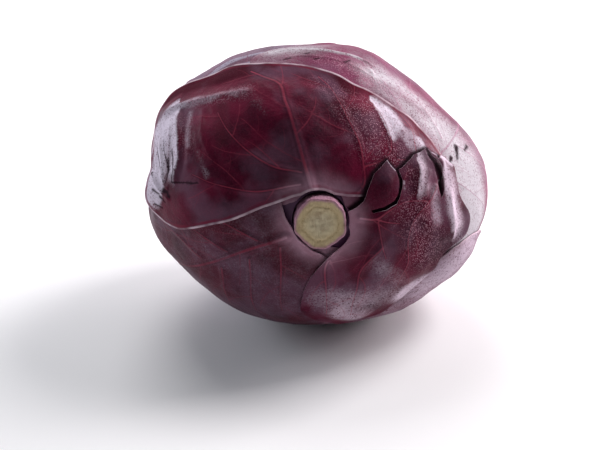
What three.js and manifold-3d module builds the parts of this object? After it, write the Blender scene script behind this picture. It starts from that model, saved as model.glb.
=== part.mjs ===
// A red cabbage head with its outer wrapper leaves, lying on its side. Millimetres, +Z up.
// The cut stem end faces -Y and the crown faces +Y. The origin is the middle of the small
// flat spot that the head rests on.
//
// Every leaf lies on the same egg-shaped surface. Its outline is drawn on a flat map of its
// own and wrapped on, and it is lifted clear of the leaves that it covers, so the leaves sit
// in layers, from the heart outwards, and none touches another.

import * as THREE from 'three';
import Module from 'manifold-3d';

// ---- the head ----
const HALF_LENGTH = 85.4;        // half the heart's longest axis, which runs left to right
const HALF_DEPTH = 74.0;         // half of it from the stem end to the crown
const HALF_HEIGHT = 69.0;        // half of it across the two
const STEM_END_TILT = 11.6;      // degrees that the stem end looks up
const LEAN = 11.6;               // degrees that the long axis drops to the right
const FLAT_SPOT_DEPTH = 4.0;     // how far the weight presses the underside flat
const FLAT_SPOT_EDGE = 2.0;      // how softly the flat spot rounds into the head
const PLAIN_SPOT = 34.0;         // no swelling or rib within this far of the middle of the spot
const PLAIN_SPOT_EDGE = 24.0;    // and they come up to their height over this much more
const MAP_RADIUS = 80.0;         // mm of leaf for each radian round the head

// ---- the layers ----
const LEAF_THICKNESS = 1.2;
const LEAF_GAP = 0.7;            // air between one leaf and the next
const LAYER = LEAF_THICKNESS + LEAF_GAP;
const STEP_RUN = 20.0;           // an upper leaf takes this far to step down off a margin
const COVER_RUN = 9.0;           // a leaf's relief fades out this far from a leaf that covers it
const CURL_RUN = 5.0;            // width of the band along a margin that curls off the head
const RIB_FOOT = 1.5;            // a rib's foot runs out this far past its width on each side
const RIB_FADE = 0.85;           // a rib loses this much of its height from its start to its end
const FOLD_FADE = 0.4;           // and a fold this much
const FOLD_START = 0.25;         // a fold rises over this first share of its length
const RIDGE_END = 0.1;           // both die away over this last share of their length
const RIDGE_STEP = 6.0;          // from one point to the next along them
const ROOM_ON_RIDGES = 2.4;      // their points keep this far apart
const ROOM_BY_MARGIN = 1.6;      // and this far inside the leaf's margin
const FILL_BY_MARGIN = 0.5;      // the even fill keeps this share of its spacing from the margin
const FILL_BY_POINTS = 0.62;     // and this share of it from the points on the ridges
const FILL_JITTER = 0.9;         // and each of its points is moved by up to this much
const FILL_BEYOND = 130.0;       // the fill is cut from a grid this much wider than the leaf's reach
const LEAVES_UNDER_SPOT = 1;     // layers between the heart and the leaf that it rests on
const MARGIN_STEP = 5.6;         // from one point to the next along a leaf's margin
const TORN_MARGIN_STEP = 4.6;    // and along the margin of a torn leaf
const CLOSEST_POINTS = 0.35;     // margin points closer than this become one
const SLOW_WAVES = 7;            // waves round a whole margin: a slow set
const FAST_WAVES = 17;           // and a fast one

// ---- the stem ----
const STEM_RADIUS = 13.5;
const STEM_TAPER = 0.8;          // its inner end is this much of its width
const STEM_PROUD = 9.0;          // the cut end stands this far off the heart's own surface
const STEM_DEPTH = 46.0;         // and it runs this far into the heart
const STEM_SHOULDER = 8.0;       // it swells slightly from this far inside the heart's surface
const STEM_WAIST = 0.96;         // where it is this much of its width
const STEM_SIDES = 32;
const CUT_BEVEL = 0.8;           // round the edge of the cut face
const STEM_CLEARANCE = 0.3;      // air between the stem and the heart
const LEAF_BASE_CLEARANCE = 0.9; // the leaf bases stop this far from it

const HEART_FACETS = 9;          // pieces along each edge of the ball that the heart is made from
const FLAT_WITHIN = 0.02;        // a point this close to the floor lies on it
const WELD_PER_MM = 1000;        // corners closer than one part in this of a mm are one

const radians = (degrees) => degrees * Math.PI / 180;
const ease = (t) => {
  const x = Math.min(1, Math.max(0, t));
  return x * x * (3 - 2 * x);
};

// ---- the head's own axes, with its stem end at -away ----
const across = new THREE.Vector3(1, 0, 0);
const away = new THREE.Vector3(0, Math.cos(radians(STEM_END_TILT)), -Math.sin(radians(STEM_END_TILT)));
const upward = new THREE.Vector3().crossVectors(across, away);
const longAxis = across.clone().multiplyScalar(Math.cos(radians(LEAN)))
  .addScaledVector(upward, -Math.sin(radians(LEAN)));
const shortAxis = across.clone().multiplyScalar(Math.sin(radians(LEAN)))
  .addScaledVector(upward, Math.cos(radians(LEAN)));

const floorLayers = LEAVES_UNDER_SPOT * LAYER + LAYER;
const heartDrop = Math.hypot(HALF_LENGTH * longAxis.z, HALF_DEPTH * away.z, HALF_HEIGHT * shortAxis.z);
const middle = new THREE.Vector3(0, 0, floorLayers + heartDrop - FLAT_SPOT_DEPTH);

// A place on the head is a distance from the stem, in mm along the surface, and a bearing
// round it, in degrees clockwise from the top as the stem end is looked at.
function towards(distance, bearing) {
  const angle = distance / MAP_RADIUS;
  return new THREE.Vector3()
    .addScaledVector(across, Math.sin(angle) * Math.sin(radians(bearing)))
    .addScaledVector(away, -Math.cos(angle))
    .addScaledVector(upward, Math.sin(angle) * Math.cos(radians(bearing)));
}

const spotDirection = new THREE.Vector3(0, 0, -1);
const nearness = (direction, place, width) => Math.exp(
  -((Math.acos(Math.min(1, Math.max(-1, direction.dot(place)))) * MAP_RADIUS / width) ** 2));

// The head isn't a true egg: [distance, bearing, width, height] of its swellings and hollows.
const swellings = [
  [138, 4, 34, 2.4],
  [138, 42, 26, 1.2],
  [105, 51, 26, -3.0],
  [119, 83, 34, 5.8],
  [107, 126, 20, 2.8],
  [83, 142, 24, -1.8],
  [120, -92, 16, -1.0],
  [106, -75, 18, -1.4],
  [133, -50, 28, 2.6],
].map(([distance, bearing, width, height]) => ({ place: towards(distance, bearing), width, height }));

// Gentle waves of the whole surface, in mm, and how fast each runs along x, y and z.
const waves = [
  { height: 0.45, run: [9.1, 0, 4.3], start: 0.7 },
  { height: 0.4, run: [-6.9, 7.4, 0], start: 2.1 },
  { height: 0.35, run: [0, 5.2, 8.3], start: 4.4 },
];

const spotFree = (direction) => ease((Math.acos(Math.max(-1, direction.dot(spotDirection)))
  * MAP_RADIUS - PLAIN_SPOT) / PLAIN_SPOT_EDGE);

function swell(direction) {
  const ripple = waves.reduce((sum, { height, run: [x, y, z], start }) => (
    sum + height * Math.sin(x * direction.x + y * direction.y + z * direction.z + start)), 0);
  const bumps = swellings.reduce(
    (sum, { place, width, height }) => sum + height * nearness(direction, place, width), 0);
  return (ripple + bumps) * spotFree(direction);
}

// The heart's surface, pressed flat underneath.
function heartPoint(direction) {
  const grow = 1 + swell(direction) / MAP_RADIUS;
  const point = middle.clone()
    .addScaledVector(longAxis, HALF_LENGTH * grow * direction.dot(longAxis))
    .addScaledVector(away, HALF_DEPTH * grow * direction.dot(away))
    .addScaledVector(shortAxis, HALF_HEIGHT * grow * direction.dot(shortAxis));
  const above = point.z - floorLayers;
  if (above < -FLAT_SPOT_EDGE) point.z = floorLayers;
  else if (above < FLAT_SPOT_EDGE) {
    point.z = floorLayers + (above + FLAT_SPOT_EDGE) ** 2 / (4 * FLAT_SPOT_EDGE);
  }
  return point;
}

// A point that stands off the heart's surface by a given lift, square to it.
function lifted(direction, lift) {
  const nudge = 0.002;
  const side = new THREE.Vector3(direction.y, direction.z, direction.x).cross(direction).normalize();
  const other = new THREE.Vector3().crossVectors(direction, side);
  const point = heartPoint(direction);
  const alongSide = heartPoint(direction.clone().addScaledVector(side, nudge).normalize()).sub(point);
  const alongOther = heartPoint(direction.clone().addScaledVector(other, nudge).normalize()).sub(point);
  const outward = alongSide.cross(alongOther).normalize();
  return point.addScaledVector(outward, outward.dot(direction) < 0 ? -lift : lift);
}

// ---- flat drawing of a leaf ----

// A closed rim from a few [degrees from the tip, radius] pairs, with a smooth curve between.
function rimRadius(rim, angle) {
  const count = rim.length;
  const turn = (i) => rim[((i % count) + count) % count][0] + 360 * Math.floor(i / count);
  const size = (i) => rim[((i % count) + count) % count][1];
  const a = ((angle - rim[0][0]) % 360 + 360) % 360 + rim[0][0];
  let i = count - 1;
  while (turn(i) > a) i -= 1;
  const span = turn(i + 1) - turn(i);
  const t = (a - turn(i)) / span;
  const slope = (j) => span * (size(j + 1) - size(j - 1)) / (turn(j + 1) - turn(j - 1));
  return (1 + 2 * t) * (1 - t) ** 2 * size(i) + t * (1 - t) ** 2 * slope(i)
    + t * t * (3 - 2 * t) * size(i + 1) + t * t * (t - 1) * slope(i + 1);
}

// The map of a leaf: x to the right and y to the tip, seen from outside, in mm.
function leafMap(leaf) {
  const centre = towards(leaf.reach, leaf.bearing);
  const ahead = towards(leaf.reach + MAP_RADIUS * Math.PI / 2, leaf.bearing);
  const right = new THREE.Vector3().crossVectors(ahead, centre);
  return {
    direction(x, y) {
      const size = Math.hypot(x, y);
      const angle = size / MAP_RADIUS;
      const part = size > 1e-9 ? Math.sin(angle) / size : 0;
      return centre.clone().multiplyScalar(Math.cos(angle))
        .addScaledVector(right, part * x).addScaledVector(ahead, part * y);
    },
    place(direction) {
      const x = direction.dot(right);
      const y = direction.dot(ahead);
      const size = Math.hypot(x, y);
      const length = Math.atan2(size, direction.dot(centre)) * MAP_RADIUS;
      return size > 1e-9 ? [x / size * length, y / size * length] : [0, 0];
    },
  };
}

// How far a leaf's influence reaches: 1 on the leaf, and 0 from a given run beyond its rim.
function spread(leaf, direction, run) {
  const [x, y] = leaf.map.place(direction);
  const beyond = Math.hypot(x, y) - rimRadius(leaf.rim, Math.atan2(x, y) * 180 / Math.PI);
  return 1 - ease(beyond / run);
}

// The leaf bases stop short of the stem all round.
function clearOfStem(direction) {
  const x = direction.dot(across);
  const z = direction.dot(upward);
  const size = Math.hypot(x, z);
  const reach = Math.hypot(HALF_LENGTH * x, HALF_HEIGHT * z);
  const needed = STEM_RADIUS + LEAF_BASE_CLEARANCE;
  if (direction.dot(away) > 0 || reach > needed) return direction;
  const wanted = needed * size / reach;
  return new THREE.Vector3()
    .addScaledVector(across, wanted * x / size)
    .addScaledVector(upward, wanted * z / size)
    .addScaledVector(away, -Math.sqrt(1 - wanted * wanted));
}

const distance = (p, q) => Math.hypot(p[0] - q[0], p[1] - q[1]);

// How far a point is from a line, on which hand of it, and how far along the nearest place is.
function gapToLine(point, line) {
  let best = { gap: Infinity, along: 0, hand: 1 };
  for (let i = 0; i + 1 < line.length; i += 1) {
    const [a, b] = [line[i], line[i + 1]];
    const length = distance(a, b) || 1e-9;
    const t = Math.min(1, Math.max(0, ((point[0] - a[0]) * (b[0] - a[0])
      + (point[1] - a[1]) * (b[1] - a[1])) / (length * length)));
    const gap = distance(point, [a[0] + t * (b[0] - a[0]), a[1] + t * (b[1] - a[1])]);
    const turn = (b[0] - a[0]) * (point[1] - a[1]) - (b[1] - a[1]) * (point[0] - a[0]);
    if (gap < best.gap) best = { gap, along: (i + t) / (line.length - 1), hand: turn < 0 ? 1 : -1 };
  }
  return best;
}

function inside(point, outline) {
  let within = false;
  outline.forEach((a, i) => {
    const b = outline[(i + 1) % outline.length];
    const crosses = (a[1] > point[1]) !== (b[1] > point[1]);
    if (crosses && point[0] < (b[0] - a[0]) * (point[1] - a[1]) / (b[1] - a[1]) + a[0]) within = !within;
  });
  return within;
}

// A smooth line through a few points, in even steps.
function smoothLine(points, step) {
  const curve = new THREE.SplineCurve(points.map(([x, y]) => new THREE.Vector2(x, y)));
  return curve.getSpacedPoints(Math.max(2, Math.round(curve.getLength() / step))).map((p) => [p.x, p.y]);
}

// The margin: the rim less its waves, with the torn stretch drawn point by point.
function margin(leaf) {
  const outline = [];
  const [tearStart, tearEnd] = leaf.tear ? leaf.tear.between : [0, 0];
  for (let angle = -180; angle < 180;) {
    if (leaf.tear && angle >= tearStart && angle < tearEnd) {
      leaf.tear.points.forEach((point, i) => {
        const last = leaf.tear.points[i - 1];
        const steps = last ? Math.max(1, Math.round(distance(last, point) / leaf.marginStep)) : 1;
        for (let s = 1; s <= steps; s += 1) {
          outline.push(last ? [0, 1].map((k) => last[k] + (point[k] - last[k]) * s / steps) : point);
        }
      });
      angle = tearEnd;
    }
    const a = radians(angle);
    const slow = Math.sin(SLOW_WAVES * a + leaf.waveStart);
    const fast = Math.sin(FAST_WAVES * a + 2);
    const wave = leaf.wave * (0.5 + 0.3 * slow + 0.2 * fast);
    const radius = rimRadius(leaf.rim, angle) - wave;
    outline.push([radius * Math.sin(a), radius * Math.cos(a)]);
    angle += leaf.marginStep / radius * 180 / Math.PI;
  }
  const clear = outline.map(([x, y]) => leaf.map.place(clearOfStem(leaf.map.direction(x, y))));
  const kept = clear.filter((p, i) => distance(p, clear[(i + 1) % clear.length]) > CLOSEST_POINTS);
  return kept.reverse();
}

// Delaunay triangles of points in the plane, one point at a time.
function triangulate(points) {
  const far = 4000;
  const all = [...points, [-far, -far], [far, -far], [0, far]];
  const circle = (i, j, k) => {
    const [[ax, ay], [bx, by], [cx, cy]] = [all[i], all[j], all[k]];
    const d = 2 * (ax * (by - cy) + bx * (cy - ay) + cx * (ay - by));
    const [a, b, c] = [ax * ax + ay * ay, bx * bx + by * by, cx * cx + cy * cy];
    const x = (a * (by - cy) + b * (cy - ay) + c * (ay - by)) / d;
    const y = (a * (cx - bx) + b * (ax - cx) + c * (bx - ax)) / d;
    return { corners: d > 0 ? [i, j, k] : [i, k, j], x, y, size: (ax - x) ** 2 + (ay - y) ** 2 };
  };
  let faces = [circle(points.length, points.length + 1, points.length + 2)];
  points.forEach(([px, py], p) => {
    const edges = new Map();
    faces = faces.filter(({ corners, x, y, size }) => {
      if ((px - x) ** 2 + (py - y) ** 2 >= size) return true;
      corners.forEach((from, n) => {
        const to = corners[(n + 1) % 3];
        if (!edges.delete(`${to} ${from}`)) edges.set(`${from} ${to}`, [from, to]);
      });
      return false;
    });
    edges.forEach(([from, to]) => faces.push(circle(from, to, p)));
  });
  return faces.map(({ corners }) => corners).filter((c) => Math.max(...c) < points.length);
}

// Points on the crests and feet of ribs and folds, then an even fill between them.
function leafPoints(leaf, outline, ridges) {
  const points = [];
  const room = (point, others, gap) => others.every((other) => distance(point, other) > gap);
  const closed = [...outline, outline[0]];
  ridges.forEach((ridge) => {
    ridge.line.forEach(([x, y], i) => {
      const before = ridge.line[Math.max(0, i - 1)];
      const after = ridge.line[Math.min(ridge.line.length - 1, i + 1)];
      const length = distance(before, after);
      const sideways = [(after[1] - before[1]) / length, (before[0] - after[0]) / length];
      [0, ridge.right, -ridge.left].forEach((offset) => {
        const point = [x + sideways[0] * offset, y + sideways[1] * offset];
        const free = room(point, points, ROOM_ON_RIDGES);
        if (free && inside(point, outline) && gapToLine(point, closed).gap > ROOM_BY_MARGIN) {
          points.push(point);
        }
      });
    });
  });
  const size = leaf.reach + FILL_BEYOND;
  const row = leaf.fill * Math.sqrt(3) / 2;
  for (let j = 0, y = -size; y < size; j += 1, y += row) {
    for (let x = -size + (j % 2) * leaf.fill / 2; x < size; x += leaf.fill) {
      const point = [
        x + FILL_JITTER * Math.sin(3.1 * x + 7.7 * y),
        y + FILL_JITTER * Math.sin(5.3 * x - 2.9 * y),
      ];
      const open = inside(point, outline) && gapToLine(point, closed).gap > FILL_BY_MARGIN * leaf.fill;
      if (open && room(point, points, FILL_BY_POINTS * leaf.fill)) points.push(point);
    }
  }
  return points;
}

// Splits margin segments until every one of them is an edge of the triangles.
function drawLeaf(leaf, ridges) {
  let outline = margin(leaf);
  const fill = leafPoints(leaf, outline, ridges);
  for (;;) {
    const points = [...outline, ...fill];
    const centre = (corners) => [0, 1].map(
      (k) => corners.reduce((sum, corner) => sum + points[corner][k] / 3, 0));
    const faces = triangulate(points).filter((corners) => inside(centre(corners), outline));
    const edges = new Set(faces.flatMap((c) => c.map((from, n) => `${from} ${c[(n + 1) % 3]}`)));
    const count = outline.length;
    const split = outline.flatMap((p, i) => {
      const q = outline[(i + 1) % count];
      const whole = edges.has(`${i} ${(i + 1) % count}`);
      return whole ? [p] : [p, [(p[0] + q[0]) / 2, (p[1] + q[1]) / 2]];
    });
    if (split.length === count) return { points, faces, edge: count };
    outline = split;
  }
}

// ---- the leaves, from the heart outwards ----
// rim: [degrees from the tip, radius] of the outline round the middle of the leaf's map
// ribs: lines of [x, y] with the width and height of the rib at its start
// folds: creases that lift the whole leaf, with the width of the slope on their left and right hand
// bumps: [x, y, radius, height] of single places where the leaf stands off

const MIDRIB = { width: 5, height: 1.9 };
const SIDE_RIB = { width: 2.8, height: 1.0 };
const FIRST_PAIR = 0.1;          // the first pair leaves the midrib this share of the way up it
const PAIRS_OVER = 0.62;         // and the pairs are spread over this share of it
const PAIRS_SHRINK = 0.35;       // the last pair is shorter than the first by nearly this share
const STAGGER = 4;               // one rib of a pair leaves this far above its middle, the other below

// A midrib with side ribs that leave it in pairs and bend to the tip, at a share of their height.
function featherRibs(base, tip, side, pairs, share = 1) {
  const ribs = [{
    points: [[0, base], [1.5, base * 0.45], [0, tip * 0.35], [2, tip]],
    width: MIDRIB.width, height: MIDRIB.height * share,
  }];
  for (let i = 0; i < pairs; i += 1) {
    const start = base + (tip - base) * (FIRST_PAIR + PAIRS_OVER * i / pairs);
    const long = side * (1 - PAIRS_SHRINK * i / pairs);
    [-1, 1].forEach((hand) => {
      const y = start + hand * STAGGER;
      ribs.push({
        points: [[hand * STAGGER, y + 1], [hand * long * 0.45, y + long * 0.3],
          [hand * long, y + long * 0.85]],
        width: SIDE_RIB.width, height: SIDE_RIB.height * share,
      });
    });
  }
  return ribs;
}

const leaves = [
  {
    name: 'leaf_crown', colour: '#6d4a63', bearing: -165, reach: 172,
    rim: [[-180, 112], [-150, 100], [-120, 90], [-90, 88], [-60, 94], [-30, 104], [0, 112], [30, 108],
      [60, 98], [90, 92], [120, 92], [150, 102]],
    wave: 2.4, waveStart: 0.4, curl: 0.6, ribs: featherRibs(-100, 78, 64, 4, 0.6), fill: 9.5,
  },
  {
    name: 'leaf_back_left', colour: '#6a4560', bearing: -45, reach: 135,
    rim: [[-180, 121], [-150, 92], [-120, 84], [-90, 86], [-50, 92], [-20, 106], [0, 114], [20, 112],
      [50, 98], [80, 92], [110, 84], [140, 82], [160, 98]],
    wave: 2.2, waveStart: 1.9, curl: 0.8, ribs: featherRibs(-108, 92, 70, 4, 0.6), fill: 9.5,
  },
  {
    name: 'leaf_back_right', colour: '#7a4a66', bearing: 62, reach: 100,
    rim: [[-180, 86], [-160, 84], [-140, 88], [-120, 100], [-108, 109], [-100, 110.5], [-92, 105.5],
      [-82, 91], [-66, 83], [-43, 94], [-20, 111], [0, 114], [20, 112], [42, 110], [64, 102], [80, 94],
      [95, 84], [112, 78], [130, 74], [155, 82]],
    wave: 1.0, waveStart: 3.1, curl: 0.8, ribs: featherRibs(-80, 56, 60, 3, 0.45), fill: 8.6,
  },
  {
    name: 'leaf_underside', colour: '#5f3550', bearing: 178, reach: 105,
    rim: [[-180, 91], [-160, 80], [-145, 70], [-130, 74], [-118, 89], [-108, 97], [-97, 99], [-84, 98],
      [-64, 98], [-30, 94], [0, 88], [30, 88], [60, 90], [90, 88], [120, 82], [150, 86]],
    wave: 1.6, waveStart: 5.0, curl: 0.2, ribs: featherRibs(-82, 58, 60, 3), fill: 8.6,
  },
  {
    name: 'leaf_left', colour: '#5a3148', bearing: -122, reach: 64,
    rim: [[-180, 51], [-152, 60], [-120, 65], [-90, 66], [-60, 63], [-30, 60], [0, 60], [25, 62],
      [60, 62], [90, 64], [120, 64], [152, 61]],
    wave: 2.0, waveStart: 2.2, curl: 1.0, ribs: featherRibs(-46, 44, 40, 3), fill: 8.0,
  },
  {
    name: 'leaf_front_top', colour: '#4a1b2c', bearing: -14, reach: 58,
    rim: [[-180, 44], [-155, 50], [-130, 70], [-112, 91], [-98, 97.5], [-87, 89.5], [-76, 82], [-58, 84],
      [-45, 78], [-33, 63], [-24, 55.5], [-15, 47], [-5, 41.8], [8, 38.8], [22, 37.8], [37, 38.2],
      [54, 40.5], [67, 44], [77, 48], [85, 53], [92, 60.8], [98, 67], [105, 77.5], [112, 85], [122, 81],
      [140, 65], [158, 53]],
    wave: 0.8, waveStart: 0.9, curl: 0.8, fill: 7.2,
    ribs: [
      { points: [[1, -41], [2, -20], [2.3, -1], [1.8, 8], [1.7, 19], [-4.4, 27], [-9, 35]],
        width: 4.6, height: 1.6 },
      { points: [[17, -50], [26, -43], [28.5, -32], [29.5, -20], [28, -8], [27, 2], [25, 13], [20.7, 24]],
        width: 2.8, height: 1.2 },
      { points: [[29, -33], [38, -30], [44, -24], [45, -14], [43, 0], [38, 12]], width: 2.6, height: 1.0 },
      { points: [[46, -30], [56, -28], [58, -18], [58, -9], [54, 0]], width: 2.6, height: 0.9 },
      { points: [[-1, -32], [-12, -26], [-21, -14], [-27, 0], [-30, 14]], width: 2.6, height: 0.9 },
      { points: [[-3, -38], [-24, -36], [-42, -26], [-52, -16]], width: 2.6, height: 0.9 },
    ],
    folds: [
      { points: [[-71, 38], [-60, 36], [-52, 34], [-46, 31.5], [-35, 28], [-25, 24.5], [-16, 21], [-8, 18]],
        left: 8, right: 6, height: 1.8 },
      { points: [[-51, 34], [-53, 20], [-53.4, 8], [-55.7, -3], [-61, -10], [-66, -17]],
        left: 4, right: 13, height: 2.8 },
      { points: [[-45, 28], [-47, 11], [-49, 1], [-54, -12]], left: 5, right: 5, height: 0.7 },
      { points: [[-37, 26], [-38.5, 14], [-40.2, 1], [-39.4, -9.5], [-38.4, -18]],
        left: 3, right: 9, height: 0.9 },
      { points: [[-68.4, 22], [-68.7, 4], [-74, -8]], left: 3, right: 6, height: 0.7 },
      { points: [[-84, 8], [-80, -2], [-78, -12], [-72, -22]], left: 3, right: 4.5, height: 1.7 },
    ],
    bumps: [[-92, -6, 20, 3.0]],
  },
  {
    name: 'leaf_front_right', colour: '#45182a', bearing: 112, reach: 50,
    rim: [[-180, 36.5], [-170, 45], [-150, 47], [-135, 51], [-122, 53], [-108, 54], [-95, 56], [-86, 54.5],
      [-75, 52], [-65, 43], [-56, 38.5], [-46, 38], [-30, 39], [-18, 34], [-8, 26], [6, 22], [22, 24],
      [43, 32], [63, 45], [79, 59], [95, 67], [112, 68], [126, 61], [140, 52], [155, 43], [168, 37]],
    wave: 0.7, waveStart: 4.2, curl: 0.4, fill: 6.6,
    tear: {
      between: [-166, -72],
      points: [[-9.5, -40], [-13.5, -37.2], [-17.3, -35], [-22.7, -34.4], [-28.9, -33.7], [-33.6, -32.6],
        [-37.8, -29.9], [-42.8, -26.8], [-40.6, -25], [-37.8, -22], [-33.3, -19.8], [-29.3, -19.2],
        [-25.4, -19.1], [-21.4, -20.3], [-17.2, -24.2], [-13.6, -30], [-12.6, -28.6], [-16.4, -22.8],
        [-20.7, -18.7], [-25.6, -17.9], [-29.6, -17.6], [-33.2, -18], [-38.6, -20.8], [-41, -18.4],
        [-45, -15.5], [-48.8, -12.6], [-50.8, -8.9], [-53.6, -4.6], [-50.2, -3.7], [-46.8, -1.3],
        [-42.6, 0.6], [-37.6, 2.3], [-32.4, 3.9], [-27.8, 6], [-33, 6.9], [-38.3, 6.6], [-43, 5],
        [-47.2, 2.5], [-50.6, -0.9], [-53.9, -3], [-51.3, 2.4], [-49, 2.4], [-51.2, 4.8],
        [-50.3, 9]],
    },
    ribs: [
      { points: [[-8, -34], [-9.6, -26.5], [-15.4, -22], [-22, -15.5], [-24.5, -8], [-25.5, -2]],
        width: 3.4, height: 1.4 },
      { points: [[-9.6, -26.5], [-9.6, -20.3], [-10.5, -14]], width: 2.6, height: 1.0 },
      { points: [[-33, 1], [-25.7, -1.5], [-18.4, -6], [-11, -7.6], [-1.7, -5.7], [9.7, 0], [19.5, 2],
        [29, 6]], width: 2.6, height: 1.1 },
      { points: [[-8.3, -25], [-2.3, -21.8], [4.4, -18], [10.5, -13.2]], width: 2.4, height: 1.0 },
      { points: [[5, -18.5], [14.4, -21.6], [22.1, -21.8], [32.1, -17.3], [42.3, -12.4], [52, -6]],
        width: 2.6, height: 1.1 },
      { points: [[12, -38], [24.2, -37.5], [38.2, -29.4], [55.8, -17.2]], width: 2.6, height: 1.0 },
    ],
    folds: [
      { points: [[-37, 9], [-28.8, 12.1], [-21, 15.4], [-13, 19.2], [-5, 22]],
        left: 5, right: 12, height: 1.7 },
      { points: [[-47, -10.6], [-41, -9.6], [-35.3, -9.7], [-30.1, -9.7], [-26, -9.5]],
        left: 9, right: 4, height: 1.2 },
    ],
    bumps: [[-47, 4, 7, 1.8], [-33, -28, 12, 1.3]],
  },
];

leaves.forEach((leaf) => {
  leaf.map = leafMap(leaf);
  leaf.marginStep = leaf.tear ? TORN_MARGIN_STEP : MARGIN_STEP;
});

// Height of the layers that lie under a leaf at a place.
const stackUnder = (order, direction) => leaves.slice(0, order)
  .reduce((sum, leaf) => sum + LAYER * spread(leaf, direction, STEP_RUN), LEAF_GAP);

// 1 where a leaf lies bare and 0 under the leaves that cover it.
const bareness = (order, direction) => leaves.slice(order + 1)
  .reduce((least, leaf) => Math.min(least, 1 - spread(leaf, direction, COVER_RUN)), 1);

// Ribs are rounded over their crest. Folds come to an edge, and each side has its own slope.
// Both die away at their far end, and folds at their near end too.
function ridgeHeight(point, ridge) {
  const { gap, along, hand } = gapToLine(point, ridge.line);
  const share = Math.min(1, gap / (hand > 0 ? ridge.right : ridge.left));
  const slope = ridge.isFold ? (1 - share) ** 2 : 1 - ease(share);
  const fade = (1 - (ridge.isFold ? FOLD_FADE : RIB_FADE) * along) * ease((1 - along) / RIDGE_END);
  const start = ridge.isFold ? ease(along / FOLD_START) : 1;
  return ridge.height * fade * start * slope;
}

function leafGeometry(leaf, order) {
  const ribs = leaf.ribs.map(({ points, width, height }) => {
    const halfWidth = width / 2 + RIB_FOOT;
    return { line: smoothLine(points, RIDGE_STEP), left: halfWidth, right: halfWidth, height };
  });
  const folds = (leaf.folds ?? []).map(({ points, left, right, height }) => (
    { isFold: true, line: smoothLine(points, RIDGE_STEP), left, right, height }));
  const ridges = [...folds, ...ribs];
  const { points, faces, edge } = drawLeaf(leaf, ridges);
  const rimLine = [...points.slice(0, edge), points[0]];
  const inner = [];
  const outer = [];
  points.forEach((point) => {
    const direction = leaf.map.direction(...point);
    const bare = bareness(order, direction) * spotFree(direction);
    const heights = (list) => list.reduce((most, item) => Math.max(most, ridgeHeight(point, item)), 0);
    const curl = leaf.curl * Math.max(0, 1 - gapToLine(point, rimLine).gap / CURL_RUN) ** 2;
    const bumps = (leaf.bumps ?? []).reduce((sum, [x, y, radius, height]) => (
      sum + height * (1 - ease(distance(point, [x, y]) / radius))), 0);
    const lift = stackUnder(order, direction) + bare * (curl + bumps + heights(folds));
    inner.push(lifted(direction, lift));
    outer.push(lifted(direction, lift + LEAF_THICKNESS + bare * heights(ribs)));
  });
  const positions = [...outer, ...inner].flatMap((p) => [p.x, p.y, Math.abs(p.z) < FLAT_WITHIN ? 0 : p.z]);
  const back = points.length;
  const triangles = faces.flatMap(([a, b, c]) => [a, b, c, back + c, back + b, back + a]);
  for (let a = 0; a < edge; a += 1) {
    const b = (a + 1) % edge;
    triangles.push(b, a, back + a, b, back + a, back + b);
  }
  return indexed(positions, triangles);
}

function indexed(positions, triangles) {
  const geometry = new THREE.BufferGeometry();
  geometry.setAttribute('position', new THREE.Float32BufferAttribute(positions, 3));
  geometry.setIndex(triangles);
  geometry.computeVertexNormals();
  return geometry;
}

// ---- the heart and the stem ----

// The surface of the heart: an icosahedron's facets pushed out to the heart's shape.
function heartBody() {
  const ball = new THREE.IcosahedronGeometry(1, HEART_FACETS).getAttribute('position');
  const found = new Map();
  const positions = [];
  const triangles = [];
  for (let i = 0; i < ball.count; i += 1) {
    const direction = new THREE.Vector3().fromBufferAttribute(ball, i).normalize();
    const key = direction.toArray().map((v) => Math.round(v * 1e5)).join(' ');
    if (!found.has(key)) {
      found.set(key, positions.length / 3);
      positions.push(...heartPoint(direction).toArray());
    }
    triangles.push(found.get(key));
  }
  return indexed(positions, triangles);
}

// A round body on the stem's line: [distance out from the middle of the head, radius] pairs.
function stemBody(profile) {
  const outline = profile.map(([out, radius]) => new THREE.Vector2(radius, out));
  const geometry = new THREE.LatheGeometry(outline, STEM_SIDES);
  const turn = new THREE.Quaternion().setFromUnitVectors(new THREE.Vector3(0, 1, 0), away.clone().negate());
  geometry.applyQuaternion(turn);
  geometry.translate(middle.x, middle.y, middle.z);
  return geometry;
}

const STEM_OUT = HALF_DEPTH + STEM_PROUD;
const STEM_IN = HALF_DEPTH - STEM_DEPTH;

const stemProfile = (room) => [
  [STEM_IN - room, 0],
  [STEM_IN - room, STEM_RADIUS * STEM_TAPER + room],
  [HALF_DEPTH - STEM_SHOULDER, STEM_RADIUS * STEM_WAIST + room],
  [STEM_OUT - CUT_BEVEL, STEM_RADIUS + room],
  [STEM_OUT, STEM_RADIUS - CUT_BEVEL + room],
  [STEM_OUT, 0],
];

const wasm = await Module();
wasm.setup();

function toManifold(geometry) {
  const found = new Map();
  const vertProperties = [];
  const triVerts = [];
  const places = geometry.getAttribute('position');
  const corners = geometry.index.array;
  for (let i = 0; i < corners.length; i += 3) {
    const triangle = [0, 1, 2].map((n) => {
      const point = [0, 1, 2].map((axis) => places.getComponent(corners[i + n], axis));
      const key = point.map((v) => Math.round(v * WELD_PER_MM)).join(' ');
      if (!found.has(key)) {
        found.set(key, found.size);
        vertProperties.push(...point);
      }
      return found.get(key);
    });
    if (new Set(triangle).size === 3) triVerts.push(...triangle);
  }
  return new wasm.Manifold(new wasm.Mesh({
    numProp: 3,
    vertProperties: new Float32Array(vertProperties),
    triVerts: new Uint32Array(triVerts),
  }));
}

function fromManifold(solid) {
  const { vertProperties, triVerts } = solid.getMesh();
  return indexed([...vertProperties], [...triVerts]);
}

// ---- the whole head ----
const group = new THREE.Group();

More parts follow.
